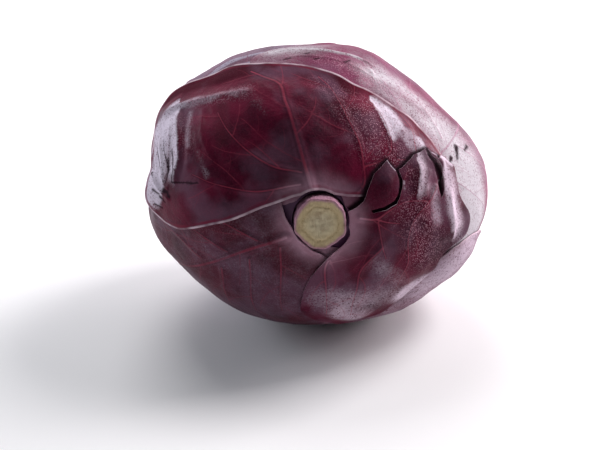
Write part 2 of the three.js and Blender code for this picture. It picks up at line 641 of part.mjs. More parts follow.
function add(name, geometry, colour, roughness) {
  const material = new THREE.MeshStandardMaterial({ color: colour, roughness, metalness: 0 });
  const mesh = new THREE.Mesh(geometry, material);
  mesh.name = name;
  group.add(mesh);
}

const stemHole = toManifold(stemBody(stemProfile(STEM_CLEARANCE)));
add('heart', fromManifold(toManifold(heartBody()).subtract(stemHole)), '#7b5a78', 0.6);
add('stem', fromManifold(toManifold(stemBody(stemProfile(0)))), '#d9cfb4', 0.7);
leaves.forEach((leaf, order) => add(leaf.name, leafGeometry(leaf, order), leaf.colour, 0.45));

export default group;
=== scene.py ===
"""A red cabbage head on a pale table: a packed heart, a cut stem, and seven wrapper leaves round them."""

import math

import bpy
import numpy as np
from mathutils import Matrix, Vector
from mathutils.geometry import delaunay_2d_cdt
from mathutils.kdtree import KDTree


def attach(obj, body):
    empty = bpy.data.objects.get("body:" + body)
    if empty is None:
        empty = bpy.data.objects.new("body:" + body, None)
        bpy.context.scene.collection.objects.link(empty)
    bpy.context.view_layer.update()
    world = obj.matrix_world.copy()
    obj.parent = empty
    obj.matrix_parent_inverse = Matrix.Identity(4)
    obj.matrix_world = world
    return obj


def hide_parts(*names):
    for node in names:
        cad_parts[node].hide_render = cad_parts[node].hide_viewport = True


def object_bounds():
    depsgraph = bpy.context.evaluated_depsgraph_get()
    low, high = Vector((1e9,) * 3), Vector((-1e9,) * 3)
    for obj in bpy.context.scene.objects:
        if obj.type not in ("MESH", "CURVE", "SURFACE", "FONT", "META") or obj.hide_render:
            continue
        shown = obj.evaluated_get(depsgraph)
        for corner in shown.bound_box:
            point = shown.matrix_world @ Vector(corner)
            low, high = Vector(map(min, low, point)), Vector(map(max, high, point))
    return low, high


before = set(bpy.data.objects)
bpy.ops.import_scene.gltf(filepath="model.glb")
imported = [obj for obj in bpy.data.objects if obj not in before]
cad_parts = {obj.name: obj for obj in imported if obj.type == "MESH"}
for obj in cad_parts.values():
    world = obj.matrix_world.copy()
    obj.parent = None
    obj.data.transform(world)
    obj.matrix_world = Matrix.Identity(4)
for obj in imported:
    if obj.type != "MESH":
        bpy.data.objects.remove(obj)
cad_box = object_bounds()
scene = bpy.context.scene

# ---- Camera ----
# A 100 mm lens, a short step to the left of the stem end, looking down on the head by 25
# degrees. A small shift sets the head above and right of the middle.
CAMERA_TURN = math.radians(2.5)
CAMERA_DROP = math.radians(25.0)
CAMERA_DISTANCE = 0.882
CAMERA_TARGET = Vector((0, 0, 0.069))
CAMERA_LENS = 100.0
CAMERA_SHIFT = (-13.3 / 600, -40.0 / 600)

camera = bpy.data.objects.new("camera", bpy.data.cameras.new("camera"))
camera.data.lens = CAMERA_LENS
camera.data.shift_x, camera.data.shift_y = CAMERA_SHIFT
looking = Vector((
    math.sin(CAMERA_TURN) * math.cos(CAMERA_DROP),
    math.cos(CAMERA_TURN) * math.cos(CAMERA_DROP),
    -math.sin(CAMERA_DROP),
))
camera.location = CAMERA_TARGET - looking * CAMERA_DISTANCE
camera.rotation_euler = looking.to_track_quat("-Z", "Y").to_euler()
scene.collection.objects.link(camera)
scene.camera = camera

# ---- Heart ----
# The heart is the tight ball of inner leaves. Only slivers of it show between the bases of
# the wrapper leaves, so it keeps its own solid, in a deep purple skin with a little bloom.
MM = 0.001
HALF_LENGTH = 85.4
HALF_DEPTH = 74.0
HALF_HEIGHT = 69.0
STEM_END_TILT = math.radians(11.6)
LEAN = math.radians(11.6)
FLAT_SPOT_DEPTH = 4.0
FLAT_SPOT_EDGE = 2.0
PLAIN_SPOT = 34.0
PLAIN_SPOT_EDGE = 24.0
MAP_RADIUS = 80.0
LEAF_THICKNESS = 1.2
LEAF_GAP = 0.7
LAYER = LEAF_THICKNESS + LEAF_GAP
FLOOR_LAYERS = 2 * LAYER

# The head's own axes: the stem end looks to -AWAY.
ACROSS = np.array([1.0, 0.0, 0.0])
AWAY = np.array([0.0, math.cos(STEM_END_TILT), -math.sin(STEM_END_TILT)])
UPWARD = np.cross(ACROSS, AWAY)
LONG_AXIS = ACROSS * math.cos(LEAN) - UPWARD * math.sin(LEAN)
SHORT_AXIS = ACROSS * math.sin(LEAN) + UPWARD * math.cos(LEAN)
HEART_DROP = math.hypot(HALF_LENGTH * LONG_AXIS[2], HALF_DEPTH * AWAY[2], HALF_HEIGHT * SHORT_AXIS[2])
MIDDLE = np.array([0.0, 0.0, FLOOR_LAYERS + HEART_DROP - FLAT_SPOT_DEPTH])


def ease(t):
    x = np.clip(t, 0, 1)
    return x * x * (3 - 2 * x)


def dot(a, b):
    return np.sum(a * b, axis=-1)


def towards(distance, bearing):
    """The direction to a place that lies so many mm from the stem, at a bearing in degrees from the top."""
    angle, turn = distance / MAP_RADIUS, math.radians(bearing)
    return (ACROSS * math.sin(angle) * math.sin(turn) - AWAY * math.cos(angle)
            + UPWARD * math.sin(angle) * math.cos(turn))


# [distance, bearing, width, height] of the head's swellings and hollows, in mm and degrees.
SWELLINGS = [
    (138, 4, 34, 2.4),
    (138, 42, 26, 1.2),
    (105, 51, 26, -3.0),
    (119, 83, 34, 5.8),
    (107, 126, 20, 2.8),
    (83, 142, 24, -1.8),
    (120, -92, 16, -1.0),
    (106, -75, 18, -1.4),
    (133, -50, 28, 2.6),
]


def off_the_spot(direction):
    """0 over the flat spot underneath, and 1 clear of it."""
    away_from_spot = np.arccos(np.clip(-direction[..., 2], -1, 1)) * MAP_RADIUS
    return ease((away_from_spot - PLAIN_SPOT) / PLAIN_SPOT_EDGE)


def swell(direction):
    """How far the head swells in a direction: gentle unevenness, and the swellings and hollows."""
    x, y, z = direction[..., 0], direction[..., 1], direction[..., 2]
    height = (0.45 * np.sin(9.1 * x + 4.3 * z + 0.7) + 0.4 * np.sin(7.4 * y - 6.9 * x + 2.1)
              + 0.35 * np.sin(8.3 * z + 5.2 * y + 4.4))
    for distance, bearing, width, high in SWELLINGS:
        nearness = np.arccos(np.clip(direction @ towards(distance, bearing), -1, 1)) * MAP_RADIUS / width
        height = height + high * np.exp(-nearness**2)
    return height * off_the_spot(direction)


def heart_point(direction):
    """The heart's surface, pressed flat underneath."""
    grow = 1 + swell(direction) / MAP_RADIUS
    point = MIDDLE + sum(
        (half * grow * (direction @ axis))[..., None] * axis
        for half, axis in ((HALF_LENGTH, LONG_AXIS), (HALF_DEPTH, AWAY), (HALF_HEIGHT, SHORT_AXIS)))
    above = point[..., 2] - FLOOR_LAYERS
    rounded = FLOOR_LAYERS + (above + FLAT_SPOT_EDGE) ** 2 / (4 * FLAT_SPOT_EDGE)
    point[..., 2] = np.where(above < -FLAT_SPOT_EDGE, FLOOR_LAYERS,
                             np.where(above < FLAT_SPOT_EDGE, rounded, point[..., 2]))
    return point


def unit(vectors):
    return vectors / np.linalg.norm(vectors, axis=-1, keepdims=True)


def lifted(direction, lift):
    """Points that stand off the heart's surface by a given lift, square to it."""
    nudge = 0.002
    side = unit(np.cross(np.roll(direction, -1, axis=-1), direction))
    other = np.cross(direction, side)
    point = heart_point(direction)
    outward = unit(np.cross(heart_point(unit(direction + nudge * side)) - point,
                            heart_point(unit(direction + nudge * other)) - point))
    outward = outward * np.sign(dot(outward, direction))[..., None]
    return point + outward * np.asarray(lift)[..., None]


class Wire:
    """A socket in a material's nodes. Sums and products of values add Math nodes."""

    def __init__(self, socket):
        self.socket = socket

    def node(self, kind, settings, sockets, output=0):
        """Any node, from its type, its settings and the values or wires of its sockets."""
        tree = self.socket.id_data
        made = tree.nodes.new(kind)
        for name, value in settings.items():
            setattr(made, name, value)
        for name, value in sockets.items():
            if isinstance(value, Wire):
                tree.links.new(value.socket, made.inputs[name])
            else:
                made.inputs[name].default_value = value
        return Wire(made.outputs[output])

    def maths(self, operation, first, second=0.0):
        return self.node("ShaderNodeMath", {"operation": operation}, {0: first, 1: second})

    def __add__(self, other):
        return self.maths("ADD", self, other)

    def __radd__(self, other):
        return self.maths("ADD", other, self)

    def __sub__(self, other):
        return self.maths("SUBTRACT", self, other)

    def __rsub__(self, other):
        return self.maths("SUBTRACT", other, self)

    def __mul__(self, other):
        return self.maths("MULTIPLY", self, other)

    def __rmul__(self, other):
        return self.maths("MULTIPLY", other, self)

    def __pow__(self, other):
        return self.maths("POWER", self, other)

    def most(self, other):
        return self.maths("MAXIMUM", self, other)

    def between(self, low, high):
        """0 below low, 1 above high, and a soft step from one to the other."""
        return self.node("ShaderNodeMapRange", {"interpolation_type": "SMOOTHSTEP"},
                         {"Value": self, "From Min": low, "From Max": high})

    def attribute(self, name):
        return self.node("ShaderNodeAttribute", {"attribute_name": name}, {}, "Fac")

    def noise(self, size, detail=3.0, roughness=0.5, seed=0.0):
        """Soft noise, with features of a given size in metres, read at this place."""
        moved = self.node("ShaderNodeVectorMath", {"operation": "ADD"},
                          {0: self, 1: (seed, 1.7 * seed, -seed)})
        return self.node("ShaderNodeTexNoise", {}, {
            "Vector": moved, "Scale": 1 / size, "Detail": detail, "Roughness": roughness}, "Fac")

    def stretched(self, factors):
        return self.node("ShaderNodeVectorMath", {"operation": "MULTIPLY"}, {0: self, 1: factors})

    def mix(self, first, second):
        """From the first colour to the second as this value goes from 0 to 1."""
        first, second = (c if isinstance(c, Wire) else (*c, 1) for c in (first, second))
        return self.node("ShaderNodeMix", {"data_type": "RGBA"}, {0: self, 6: first, 7: second}, 2)


def new_material(name):
    """A material, its shader node, and the wire that carries each place on the surface."""
    material = bpy.data.materials.new(name)
    material.use_nodes = True
    tree = material.node_tree
    shader = next(n for n in tree.nodes if n.type == "BSDF_PRINCIPLED")
    place = Wire(tree.nodes.new("ShaderNodeTexCoord").outputs["Object"])
    return material, shader, place


def join(shader, **wires):
    """Links wires to the shader's sockets, as in join(shader, Base_Color=colour)."""
    for name, wire in wires.items():
        shader.id_data.links.new(wire.socket, shader.inputs[name.replace("_", " ")])


heart_skin, heart_shader, place = new_material("heart_skin")
heart_colour = place.noise(0.020, 4).mix((0.055, 0.012, 0.045), (0.16, 0.06, 0.15))
join(heart_shader, Base_Color=heart_colour)
heart_shader.inputs["Roughness"].default_value = 0.5
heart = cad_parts["heart"]
heart.data.materials.clear()
heart.data.materials.append(heart_skin)

# ---- Stem ----
# The stem is cut square, a little proud of the leaf bases. It is woody and cream coloured,
# with a ring of vessels round a paler pith, and its cut face has dried and browned slightly.
STEM_RADIUS = 13.5
STEM_TAPER = 0.8
STEM_PROUD = 9.0
STEM_DEPTH = 46.0
STEM_SHOULDER = 8.0
STEM_WAIST = 0.96
CUT_EDGE = 0.8
STEM_LOBE = 0.65
STEM_TURNS = 180
STEM_CENTRE = 0.25
STEM_AHEAD = -AWAY


def random_directions(cells):
    """A fixed random direction for each whole-number cell."""
    mixed = cells[..., 0] * 374761393 + cells[..., 1] * 668265263 + cells[..., 2] * 2147483647
    mixed = (mixed ^ (mixed >> 13)) * 1274126177
    mixed = mixed ^ (mixed >> 16)
    turn = (mixed & 1023) / 1024 * 2 * math.pi
    height = ((mixed >> 10) & 1023) / 511.5 - 1
    flat = np.sqrt(np.maximum(0, 1 - height**2))
    return np.stack([flat * np.cos(turn), flat * np.sin(turn), height], axis=-1)


def noise(points, size, seed):
    """Smooth noise from about -1 to 1, with features of a given size in mm."""
    scaled = points / size + seed * np.array([17.3, 5.1, -9.7])
    cell = np.floor(scaled).astype(np.int64)
    part = scaled - cell
    smooth = part**3 * (part * (part * 6 - 15) + 10)
    total = np.zeros(len(points))
    for corner in np.ndindex(2, 2, 2):
        corner = np.array(corner)
        weight = np.prod(np.where(corner == 1, smooth, 1 - smooth), axis=-1)
        total += weight * dot(random_directions(cell + corner), part - corner)
    return total * 1.6


def new_piece(name, points, faces, marks, material, body="root"):
    """A smooth mesh piece from points in mm, with a number at each point for each mark."""
    mesh = bpy.data.meshes.new(name)
    mesh.from_pydata((points * MM).tolist(), [], faces)
    mesh.polygons.foreach_set("use_smooth", [True] * len(mesh.polygons))
    for mark, values in marks.items():
        numbers = mesh.attributes.new(mark, "FLOAT", "POINT").data
        numbers.foreach_set("value", np.asarray(values, np.float32))
    mesh.materials.append(material)
    piece = bpy.data.objects.new(name, mesh)
    scene.collection.objects.link(piece)
    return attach(piece, body)


def stem_profile():
    """[distance out from the head's middle, radius] from the buried end to the middle of the cut face."""
    out, inner = HALF_DEPTH + STEM_PROUD, HALF_DEPTH - STEM_DEPTH
    side = np.linspace(inner, out - CUT_EDGE, 40)
    waist = HALF_DEPTH - STEM_SHOULDER
    radius = np.interp(side, [inner, waist, out - CUT_EDGE],
                       [STEM_RADIUS * STEM_TAPER, STEM_RADIUS * STEM_WAIST, STEM_RADIUS])
    rounding = [(out - CUT_EDGE * (1 - math.sin(a)), STEM_RADIUS - CUT_EDGE * (1 - math.cos(a)))
                for a in np.linspace(0.2, math.pi / 2, 5)]
    face = [(out, r) for r in np.linspace(STEM_RADIUS - CUT_EDGE, STEM_CENTRE, 30)[1:]]
    return [(inner, STEM_CENTRE)] + list(zip(side, radius)) + rounding + face


profile = np.array(stem_profile())
turns = np.linspace(0, 2 * math.pi, STEM_TURNS, endpoint=False)
rings = (profile[:, None, 1, None] * (np.cos(turns)[None, :, None] * ACROSS
                                      + np.sin(turns)[None, :, None] * UPWARD))
stem_points = (MIDDLE + profile[:, None, 0, None] * STEM_AHEAD + rings).reshape(-1, 3)
out_along = np.repeat(profile[:, 0], STEM_TURNS)
radius_at = np.repeat(profile[:, 1], STEM_TURNS)
turn_at = np.tile(turns, len(profile))
on_face = ease((out_along - (HALF_DEPTH + STEM_PROUD - CUT_EDGE)) / CUT_EDGE)
bark = 0.25 * np.sin(9 * turn_at + 2 * np.sin(3 * turn_at)) + 0.4 * noise(stem_points, 5.0, 3)
lobes = (1 + 0.5 * np.sin(5 * turn_at + 0.6) + 0.3 * np.sin(8 * turn_at + 2.0)
         + 0.2 * np.sin(13 * turn_at + 4.0))
exposed = ease((out_along - HALF_DEPTH) / STEM_PROUD)
dish = -0.35 * (1 - on_face * radius_at / STEM_RADIUS) + 0.16 * noise(stem_points, 2.2, 4)
outward = unit(rings.reshape(-1, 3))
squeeze = (0.35 + np.abs(bark)) * (1 - on_face) + STEM_LOBE * lobes * exposed * radius_at / STEM_RADIUS
stem_points = stem_points - outward * squeeze[:, None] + STEM_AHEAD * (dish * on_face)[:, None]
stem_faces = [
    ((i + 1) * STEM_TURNS + j, (i + 1) * STEM_TURNS + (j + 1) % STEM_TURNS,
     i * STEM_TURNS + (j + 1) % STEM_TURNS, i * STEM_TURNS + j)
    for i in range(len(profile) - 1) for j in range(STEM_TURNS)]
last = (len(profile) - 1) * STEM_TURNS
stem_faces += [tuple(range(STEM_TURNS)), tuple(last + j for j in reversed(range(STEM_TURNS)))]

stem_flesh, stem_shader, place = new_material("stem_flesh")
across_face = place.attribute("radius") + 0.14 * (place.noise(0.007, 3, 0.5, 2.0) - 0.5)
vessels = across_face.between(0.58, 0.66) * (1 - across_face.between(0.66, 0.76))
specks = place.noise(0.0009, 2, 0.6, 6.0).between(0.50, 0.66)
pith = across_face.between(0.15, 0.75).mix((0.74, 0.66, 0.44), (0.60, 0.47, 0.26))
ringed = (vessels * (0.25 + 0.5 * specks)).mix(pith, (0.40, 0.27, 0.12))
rind = across_face.between(0.82, 0.96).mix(ringed, (0.46, 0.22, 0.30))
dried = place.noise(0.006, 5, seed=3.0).between(0.48, 0.72)
browned = (dried * 0.55).mix(rind, (0.27, 0.15, 0.07))
skin = place.noise(0.005, 4, seed=8.0).mix((0.52, 0.30, 0.38), (0.26, 0.07, 0.15))
stem_colour = place.attribute("face").mix(skin, browned)
knife = place.node("ShaderNodeTexWave", {"bands_direction": "X"}, {
    "Vector": place, "Scale": 190.0, "Distortion": 5.0, "Detail": 2.0}, "Fac")
stem_bump = place.node("ShaderNodeBump", {}, {
    "Height": place.noise(0.0009, 4, 0.6, 5.0) + 0.6 * vessels + 0.35 * knife,
    "Strength": 0.5, "Distance": 0.0006}, "Normal")
join(stem_shader, Base_Color=stem_colour, Normal=stem_bump)
stem_shader.inputs["Roughness"].default_value = 0.6
stem = new_piece("cut_stem", stem_points, stem_faces,
                 {"radius": radius_at / STEM_RADIUS, "face": on_face}, stem_flesh)
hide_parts("stem")

# ---- Wrapper leaves ----
# Seven leaves wrap the heart, each thin and waxy, with a thick midrib and veins that stand out
# on its outer side. Each grew over the ones inside it, and they hold by their own curl.

# Lengths are in mm. A run is how far something takes to fade out.
STEP_RUN = 20.0
COVER_RUN = 9.0
CURL_RUN = 5.0
RIB_FOOT = 1.5
RIB_LINE = 0.13
RIB_FADE = 0.85
FOLD_FADE = 0.4
RIDGE_END = 0.1
FOLD_START = 0.25
LEAF_BASE_CLEARANCE = 0.25
EDGE_TAPER = 4.0
SETTLE = 0.4
SETTLE_RUN = 14.0
BASE_PALE_RUN = 15.0
MARGIN_FAR = 6.0
SHARP_SIDE = 0.8
# Grooves are painted near black, and so is a band along each torn edge over a lower leaf: painted shade in
# clefts.
GROOVE_DEPTH = 0.5
GROOVE_SOFT = 0.8
CLEFT_HALF = 0.6
CLEFT_RUN = 1.9
FLUTTER_RUN = 5.0
DEEPEST_HOLLOW = 0.25
WAVES = 7
RIPPLES = 17
BOX_EASE = 0.6
ROLL = 0.35
ROLL_RUN = 1.6
MARGIN_STEP = 1.1
FINE_STEP = 1.0
COVERED_EVERY = 4
SET_BACK = 0.2
SHORTEST_EDGE = 0.3
JITTER = 0.16
APART = 0.6
RIDGE_STEP = 1.5
LONG_NOTCH = 6.0
SHORT_NOTCH = 2.2
FLUTTER_SIZE = 9.0
BROAD_CRINKLE = 0.45
BROAD_SIZE = 24.0
FINE_CRINKLE = 0.30
FINE_SIZE = 11.0
VEIN_STEP = 1.6
VEIN_CELL = 1.6
VEIN_FAR = 7.0
VEIN_STOP = 1.5


def rim_radius(rim, angle):
    """A closed rim's radius at angles in degrees, by a smooth curve through [angle, radius] pairs."""
    turns = np.array([a for a, _ in rim] + [rim[0][0] + 360, rim[1][0] + 360])
    turns = np.concatenate([[rim[-1][0] - 360], turns])
    sizes = np.array([r for _, r in rim] + [rim[0][1], rim[1][1]])
    sizes = np.concatenate([[rim[-1][1]], sizes])
    a = (np.asarray(angle, float) - rim[0][0]) % 360 + rim[0][0]
    i = np.clip(np.searchsorted(turns, a, side="right") - 1, 1, len(rim))
    span = turns[i + 1] - turns[i]
    t = (a - turns[i]) / span
    slope = span * (sizes[i + 1] - sizes[i - 1]) / (turns[i + 1] - turns[i - 1])
    following = np.minimum(i + 2, len(turns) - 1)
    next_slope = span * (sizes[following] - sizes[i]) / (turns[following] - turns[i])
    return ((1 + 2 * t) * (1 - t) ** 2 * sizes[i] + t * (1 - t) ** 2 * slope
            + t * t * (3 - 2 * t) * sizes[i + 1] + t * t * (t - 1) * next_slope)


class LeafMap:
    """The flat map of a leaf: x to the right and y to the tip, seen from outside, in mm."""

    def __init__(self, bearing, reach):
        self.centre = towards(reach, bearing)
        self.ahead = towards(reach + MAP_RADIUS * math.pi / 2, bearing)
        self.right = np.cross(self.ahead, self.centre)

    def direction(self, flat):
        size = np.maximum(np.linalg.norm(flat, axis=-1), 1e-9)
        angle = size / MAP_RADIUS
        part = np.sin(angle) / size
        return (np.cos(angle)[..., None] * self.centre + (part * flat[..., 0])[..., None] * self.right
                + (part * flat[..., 1])[..., None] * self.ahead)

    def place(self, direction):
        x, y = direction @ self.right, direction @ self.ahead
        size = np.maximum(np.hypot(x, y), 1e-9)
        length = np.arctan2(size, direction @ self.centre) * MAP_RADIUS
        return np.stack([x / size * length, y / size * length], axis=-1)


def spread(leaf, direction, run):
    """1 on a leaf, and 0 from a given run beyond its rim."""
    flat = leaf["map"].place(direction)
    angle = np.degrees(np.arctan2(flat[..., 0], flat[..., 1]))
    beyond = np.linalg.norm(flat, axis=-1) - rim_radius(leaf["rim"], angle)
    return 1 - ease(beyond / run)


def clear_of_stem(direction):
    """Leaf bases stop short of the stem all round."""
    x, z = direction @ ACROSS, direction @ UPWARD
    size = np.maximum(np.hypot(x, z), 1e-9)
    reach = np.hypot(HALF_LENGTH * x, HALF_HEIGHT * z)
    needed = STEM_RADIUS + LEAF_BASE_CLEARANCE
    wanted = needed * size / np.maximum(reach, 1e-9)
    pushed = ((wanted * x / size)[..., None] * ACROSS + (wanted * z / size)[..., None] * UPWARD
              - np.sqrt(np.maximum(0, 1 - wanted**2))[..., None] * AWAY)
    keep = (direction @ AWAY > 0) | (reach > needed)
    return np.where(keep[..., None], direction, pushed)


def line_gap(points, line):
    """Each point's gap to a line, how far along the nearest place is, and 1 on the right hand or -1."""
    gap = np.full(len(points), np.inf)
    along, hand = np.zeros(len(points)), np.ones(len(points))
    for i in range(len(line) - 1):
        a, b = line[i], line[i + 1]
        leg = b - a
        t = np.clip((points - a) @ leg / max(leg @ leg, 1e-12), 0, 1)
        near = np.linalg.norm(points - a - t[:, None] * leg, axis=1)
        closer = near < gap
        turn = leg[0] * (points[:, 1] - a[1]) - leg[1] * (points[:, 0] - a[0])
        gap = np.where(closer, near, gap)
        along = np.where(closer, (i + t) / (len(line) - 1), along)
        hand = np.where(closer, np.where(turn < 0, 1, -1), hand)
    return gap, along, hand


def smooth_line(points, step):
    """A smooth line through a few points, in even steps."""
    p = np.array(points, float)
    padded = np.vstack([2 * p[0] - p[1], p, 2 * p[-1] - p[-2]])
    t = np.linspace(0, 1, 12, endpoint=False)[:, None]
    curve = []
    for i in range(1, len(padded) - 2):
        a, b, c, d = padded[i - 1:i + 3]
        curve.append(0.5 * (2 * b + (c - a) * t + (2 * a - 5 * b + 4 * c - d) * t**2
                            + (3 * b - a - 3 * c + d) * t**3))
    curve = np.vstack([*curve, p[-1:]])
    return even_steps(curve, step)


def even_steps(curve, step):
    """A line's points moved to even steps along it."""
    lengths = np.concatenate([[0], np.cumsum(np.linalg.norm(np.diff(curve, axis=0), axis=1))])
    count = max(1, round(lengths[-1] / step))
    at = np.linspace(0, lengths[-1], count + 1)
    return np.stack([np.interp(at, lengths, curve[:, k]) for k in (0, 1)], axis=1)


def inside(points, outline):
    """Which points lie inside a closed outline."""
    within = np.zeros(len(points), bool)
    for a, b in zip(outline, np.roll(outline, -1, axis=0)):
        crosses = (a[1] > points[:, 1]) != (b[1] > points[:, 1])
        with np.errstate(divide="ignore", invalid="ignore"):
            left = points[:, 0] < (b[0] - a[0]) * (points[:, 1] - a[1]) / (b[1] - a[1]) + a[0]
        within ^= crosses & left
    return within


def margin(leaf):
    """A leaf's outline: the rim less its waves, with the torn stretch drawn point by point."""
    tear_start, tear_end = leaf["tear"]["between"] if "tear" in leaf else (0, 0)
    outline = []
    angle = -180.0
    while angle < 180:
        if "tear" in leaf and tear_start <= angle < tear_end:
            torn = np.array(leaf["tear"]["points"], float)
            for i in range(len(torn) - 1):
                outline += list(even_steps(torn[i:i + 2], MARGIN_STEP)[:-1])
            angle = tear_end
        a = math.radians(angle)
        wave = leaf["wave"] * (0.5 + 0.3 * math.sin(WAVES * a + leaf["wave_start"])
                               + 0.2 * math.sin(RIPPLES * a + 2))
        radius = float(rim_radius(leaf["rim"], angle)) - wave
        outline.append(np.array([radius * math.sin(a), radius * math.cos(a)]))
        angle += math.degrees(MARGIN_STEP / radius)
    outline = np.array(outline)
    bend = np.roll(outline, -1, axis=0) - np.roll(outline, 1, axis=0)
    out = unit(np.stack([-bend[:, 1], bend[:, 0]], axis=1))
    flat = np.column_stack([outline, np.zeros(len(outline))])
    ragged = noise(flat, LONG_NOTCH, leaf["seed"]) + 0.5 * noise(flat, SHORT_NOTCH, leaf["seed"] + 1)
    outline = outline + out * (leaf["flutter"] * ragged - SET_BACK)[:, None]
    clear = leaf["map"].place(clear_of_stem(leaf["map"].direction(outline)))
    gap = np.linalg.norm(clear - np.roll(clear, -1, axis=0), axis=1)
    return clear[gap > SHORTEST_EDGE][::-1]


def step_along(line, start, spacing):
    """Evenly spaced places on a line, with the line's heading at each and how far along it is."""
    lengths = np.concatenate([[0], np.cumsum(np.linalg.norm(np.diff(line, axis=0), axis=1))])
    for at in np.arange(start, lengths[-1] - 1, spacing):
        i = min(np.searchsorted(lengths, at, side="right") - 1, len(line) - 2)
        part = (at - lengths[i]) / (lengths[i + 1] - lengths[i])
        heading = line[i + 1] - line[i]
        yield line[i] + part * heading, math.atan2(heading[0], heading[1]), at / lengths[-1]


def grow_veins(leaf, parents, spacing, length, turn, taken, draw):
    """Side veins that leave their parents on alternate sides and bend along till they meet another."""
    grown = []
    for parent in parents:
        hand = 1 if draw.random() < 0.5 else -1
        for start, heading, along in step_along(parent, draw.uniform(0.3, 1.0) * spacing, spacing):
            hand = -hand
            course = heading + hand * turn * draw.uniform(0.85, 1.15)
            wanted = length * draw.uniform(0.7, 1.2) * (1 - 0.45 * along)
            line = [start]
            at = start
            while len(line) * VEIN_STEP < wanted:
                course += -hand * turn * 0.55 * VEIN_STEP / wanted + draw.normal(0, 0.06)
                at = at + VEIN_STEP * np.array([math.sin(course), math.cos(course)])
                cell = tuple(np.floor(at / VEIN_CELL).astype(int))
                angle = math.degrees(math.atan2(*at))
                if np.linalg.norm(at) > float(rim_radius(leaf["rim"], angle)) - VEIN_STOP:
                    break
                line.append(at)
                if cell in taken and len(line) > 3:
                    break
            if len(line) > 3:
                grown.append(np.array(line))
    for line in grown:
        taken.update(tuple(c) for c in np.floor(line[2:] / VEIN_CELL).astype(int))
    return grown


# Each order of vein that follows the side ribs: how it branches, half its foot, its height and
# half its line.
VEIN_ORDERS = [
    {"spacing": 15.0, "length": 36.0, "turn": 0.8, "half": 1.6, "height": 0.24, "line": 0.32},
    {"spacing": 8.0, "length": 15.0, "turn": 1.15, "half": 1.2, "height": 0.10, "line": 0.2},
]


def near_line(points, line, far):
    """Which points lie in the box round a line."""
    within = (points > line.min(axis=0) - far) & (points < line.max(axis=0) + far)
    return np.where(np.all(within, axis=1))[0]


def relief(points, ridges):
    """The height of the tallest ridge at each point."""
    height = np.zeros(len(points))
    for ridge in ridges:
        near = near_line(points, ridge["points"], max(ridge["left"], ridge["right"]))
        gap, along, hand = line_gap(points[near], ridge["points"])
        share = np.minimum(1, gap / np.where(hand > 0, ridge["right"], ridge["left"]))
        slope = (1 - share) ** 2 if ridge["fold"] else 1 - ease(share)
        fade = (1 - (FOLD_FADE if ridge["fold"] else RIB_FADE) * along) * ease((1 - along) / RIDGE_END)
        if ridge["fold"]:
            fade = fade * ease(along / FOLD_START)
        height[near] = np.maximum(height[near], ridge["height"] * fade * slope)
    return height


def vein_gaps(points, veins):
    """The gap to the nearest vein in mm, and the least gap as a multiple of half that vein's line."""
    gaps, lines = np.full(len(points), VEIN_FAR), np.full(len(points), VEIN_FAR)
    for strand in veins:
        near = near_line(points, strand["points"], VEIN_FAR)
        gap, along, _ = line_gap(points[near], strand["points"])
        gaps[near] = np.minimum(gaps[near], gap)
        lines[near] = np.minimum(lines[near], gap / (strand["line"] * (1 - 0.5 * along)))
    return gaps, lines


# The width and height of a midrib and of a side rib, and how far a pair's two roots are set off.
MIDRIB = (5, 1.9)
SIDE_RIB = (2.8, 1.0)
RIB_OFFSET = 4


def rib(points, width, height):
    return {"points": points, "width": width, "height": height}


def feather_ribs(base, tip, side, pairs, share=1.0):
    """A midrib with side ribs that leave it in pairs and bend to the tip, at a share of their height."""
    ribs = [rib([(0, base), (1.5, base * 0.45), (0, tip * 0.35), (2, tip)], MIDRIB[0], MIDRIB[1] * share)]
    for i in range(pairs):
        start = base + (tip - base) * (0.1 + 0.62 * i / pairs)
        long = side * (1 - 0.35 * i / pairs)
        for hand in (-1, 1):
            y = start + hand * RIB_OFFSET
            side_points = [(hand * RIB_OFFSET, y + 1), (hand * long * 0.45, y + long * 0.3),
                           (hand * long, y + long * 0.85)]
            ribs.append(rib(side_points, SIDE_RIB[0], SIDE_RIB[1] * share))
    return ribs


def fold(points, left, right, height):
    """A crease, with the width of the slope on its left and right hand."""
    return {"points": smooth_line(points, RIDGE_STEP), "left": left, "right": right, "height": height,
            "fold": True}


def vein(points, half, height, line):
    """A vein, with half the width of its foot and half the width of its painted line."""
    return {"points": points, "left": half, "right": half, "height": height, "line": line, "fold": False}


# What a leaf has where it gives nothing of its own.
PLAIN_LEAF = {"edge": 0.6, "flutter": 0.4, "dome": 0.3, "margin": (0.12, 0.15),
              "folds": [], "wrinkles": [], "dark_grooves": [], "bumps": []}
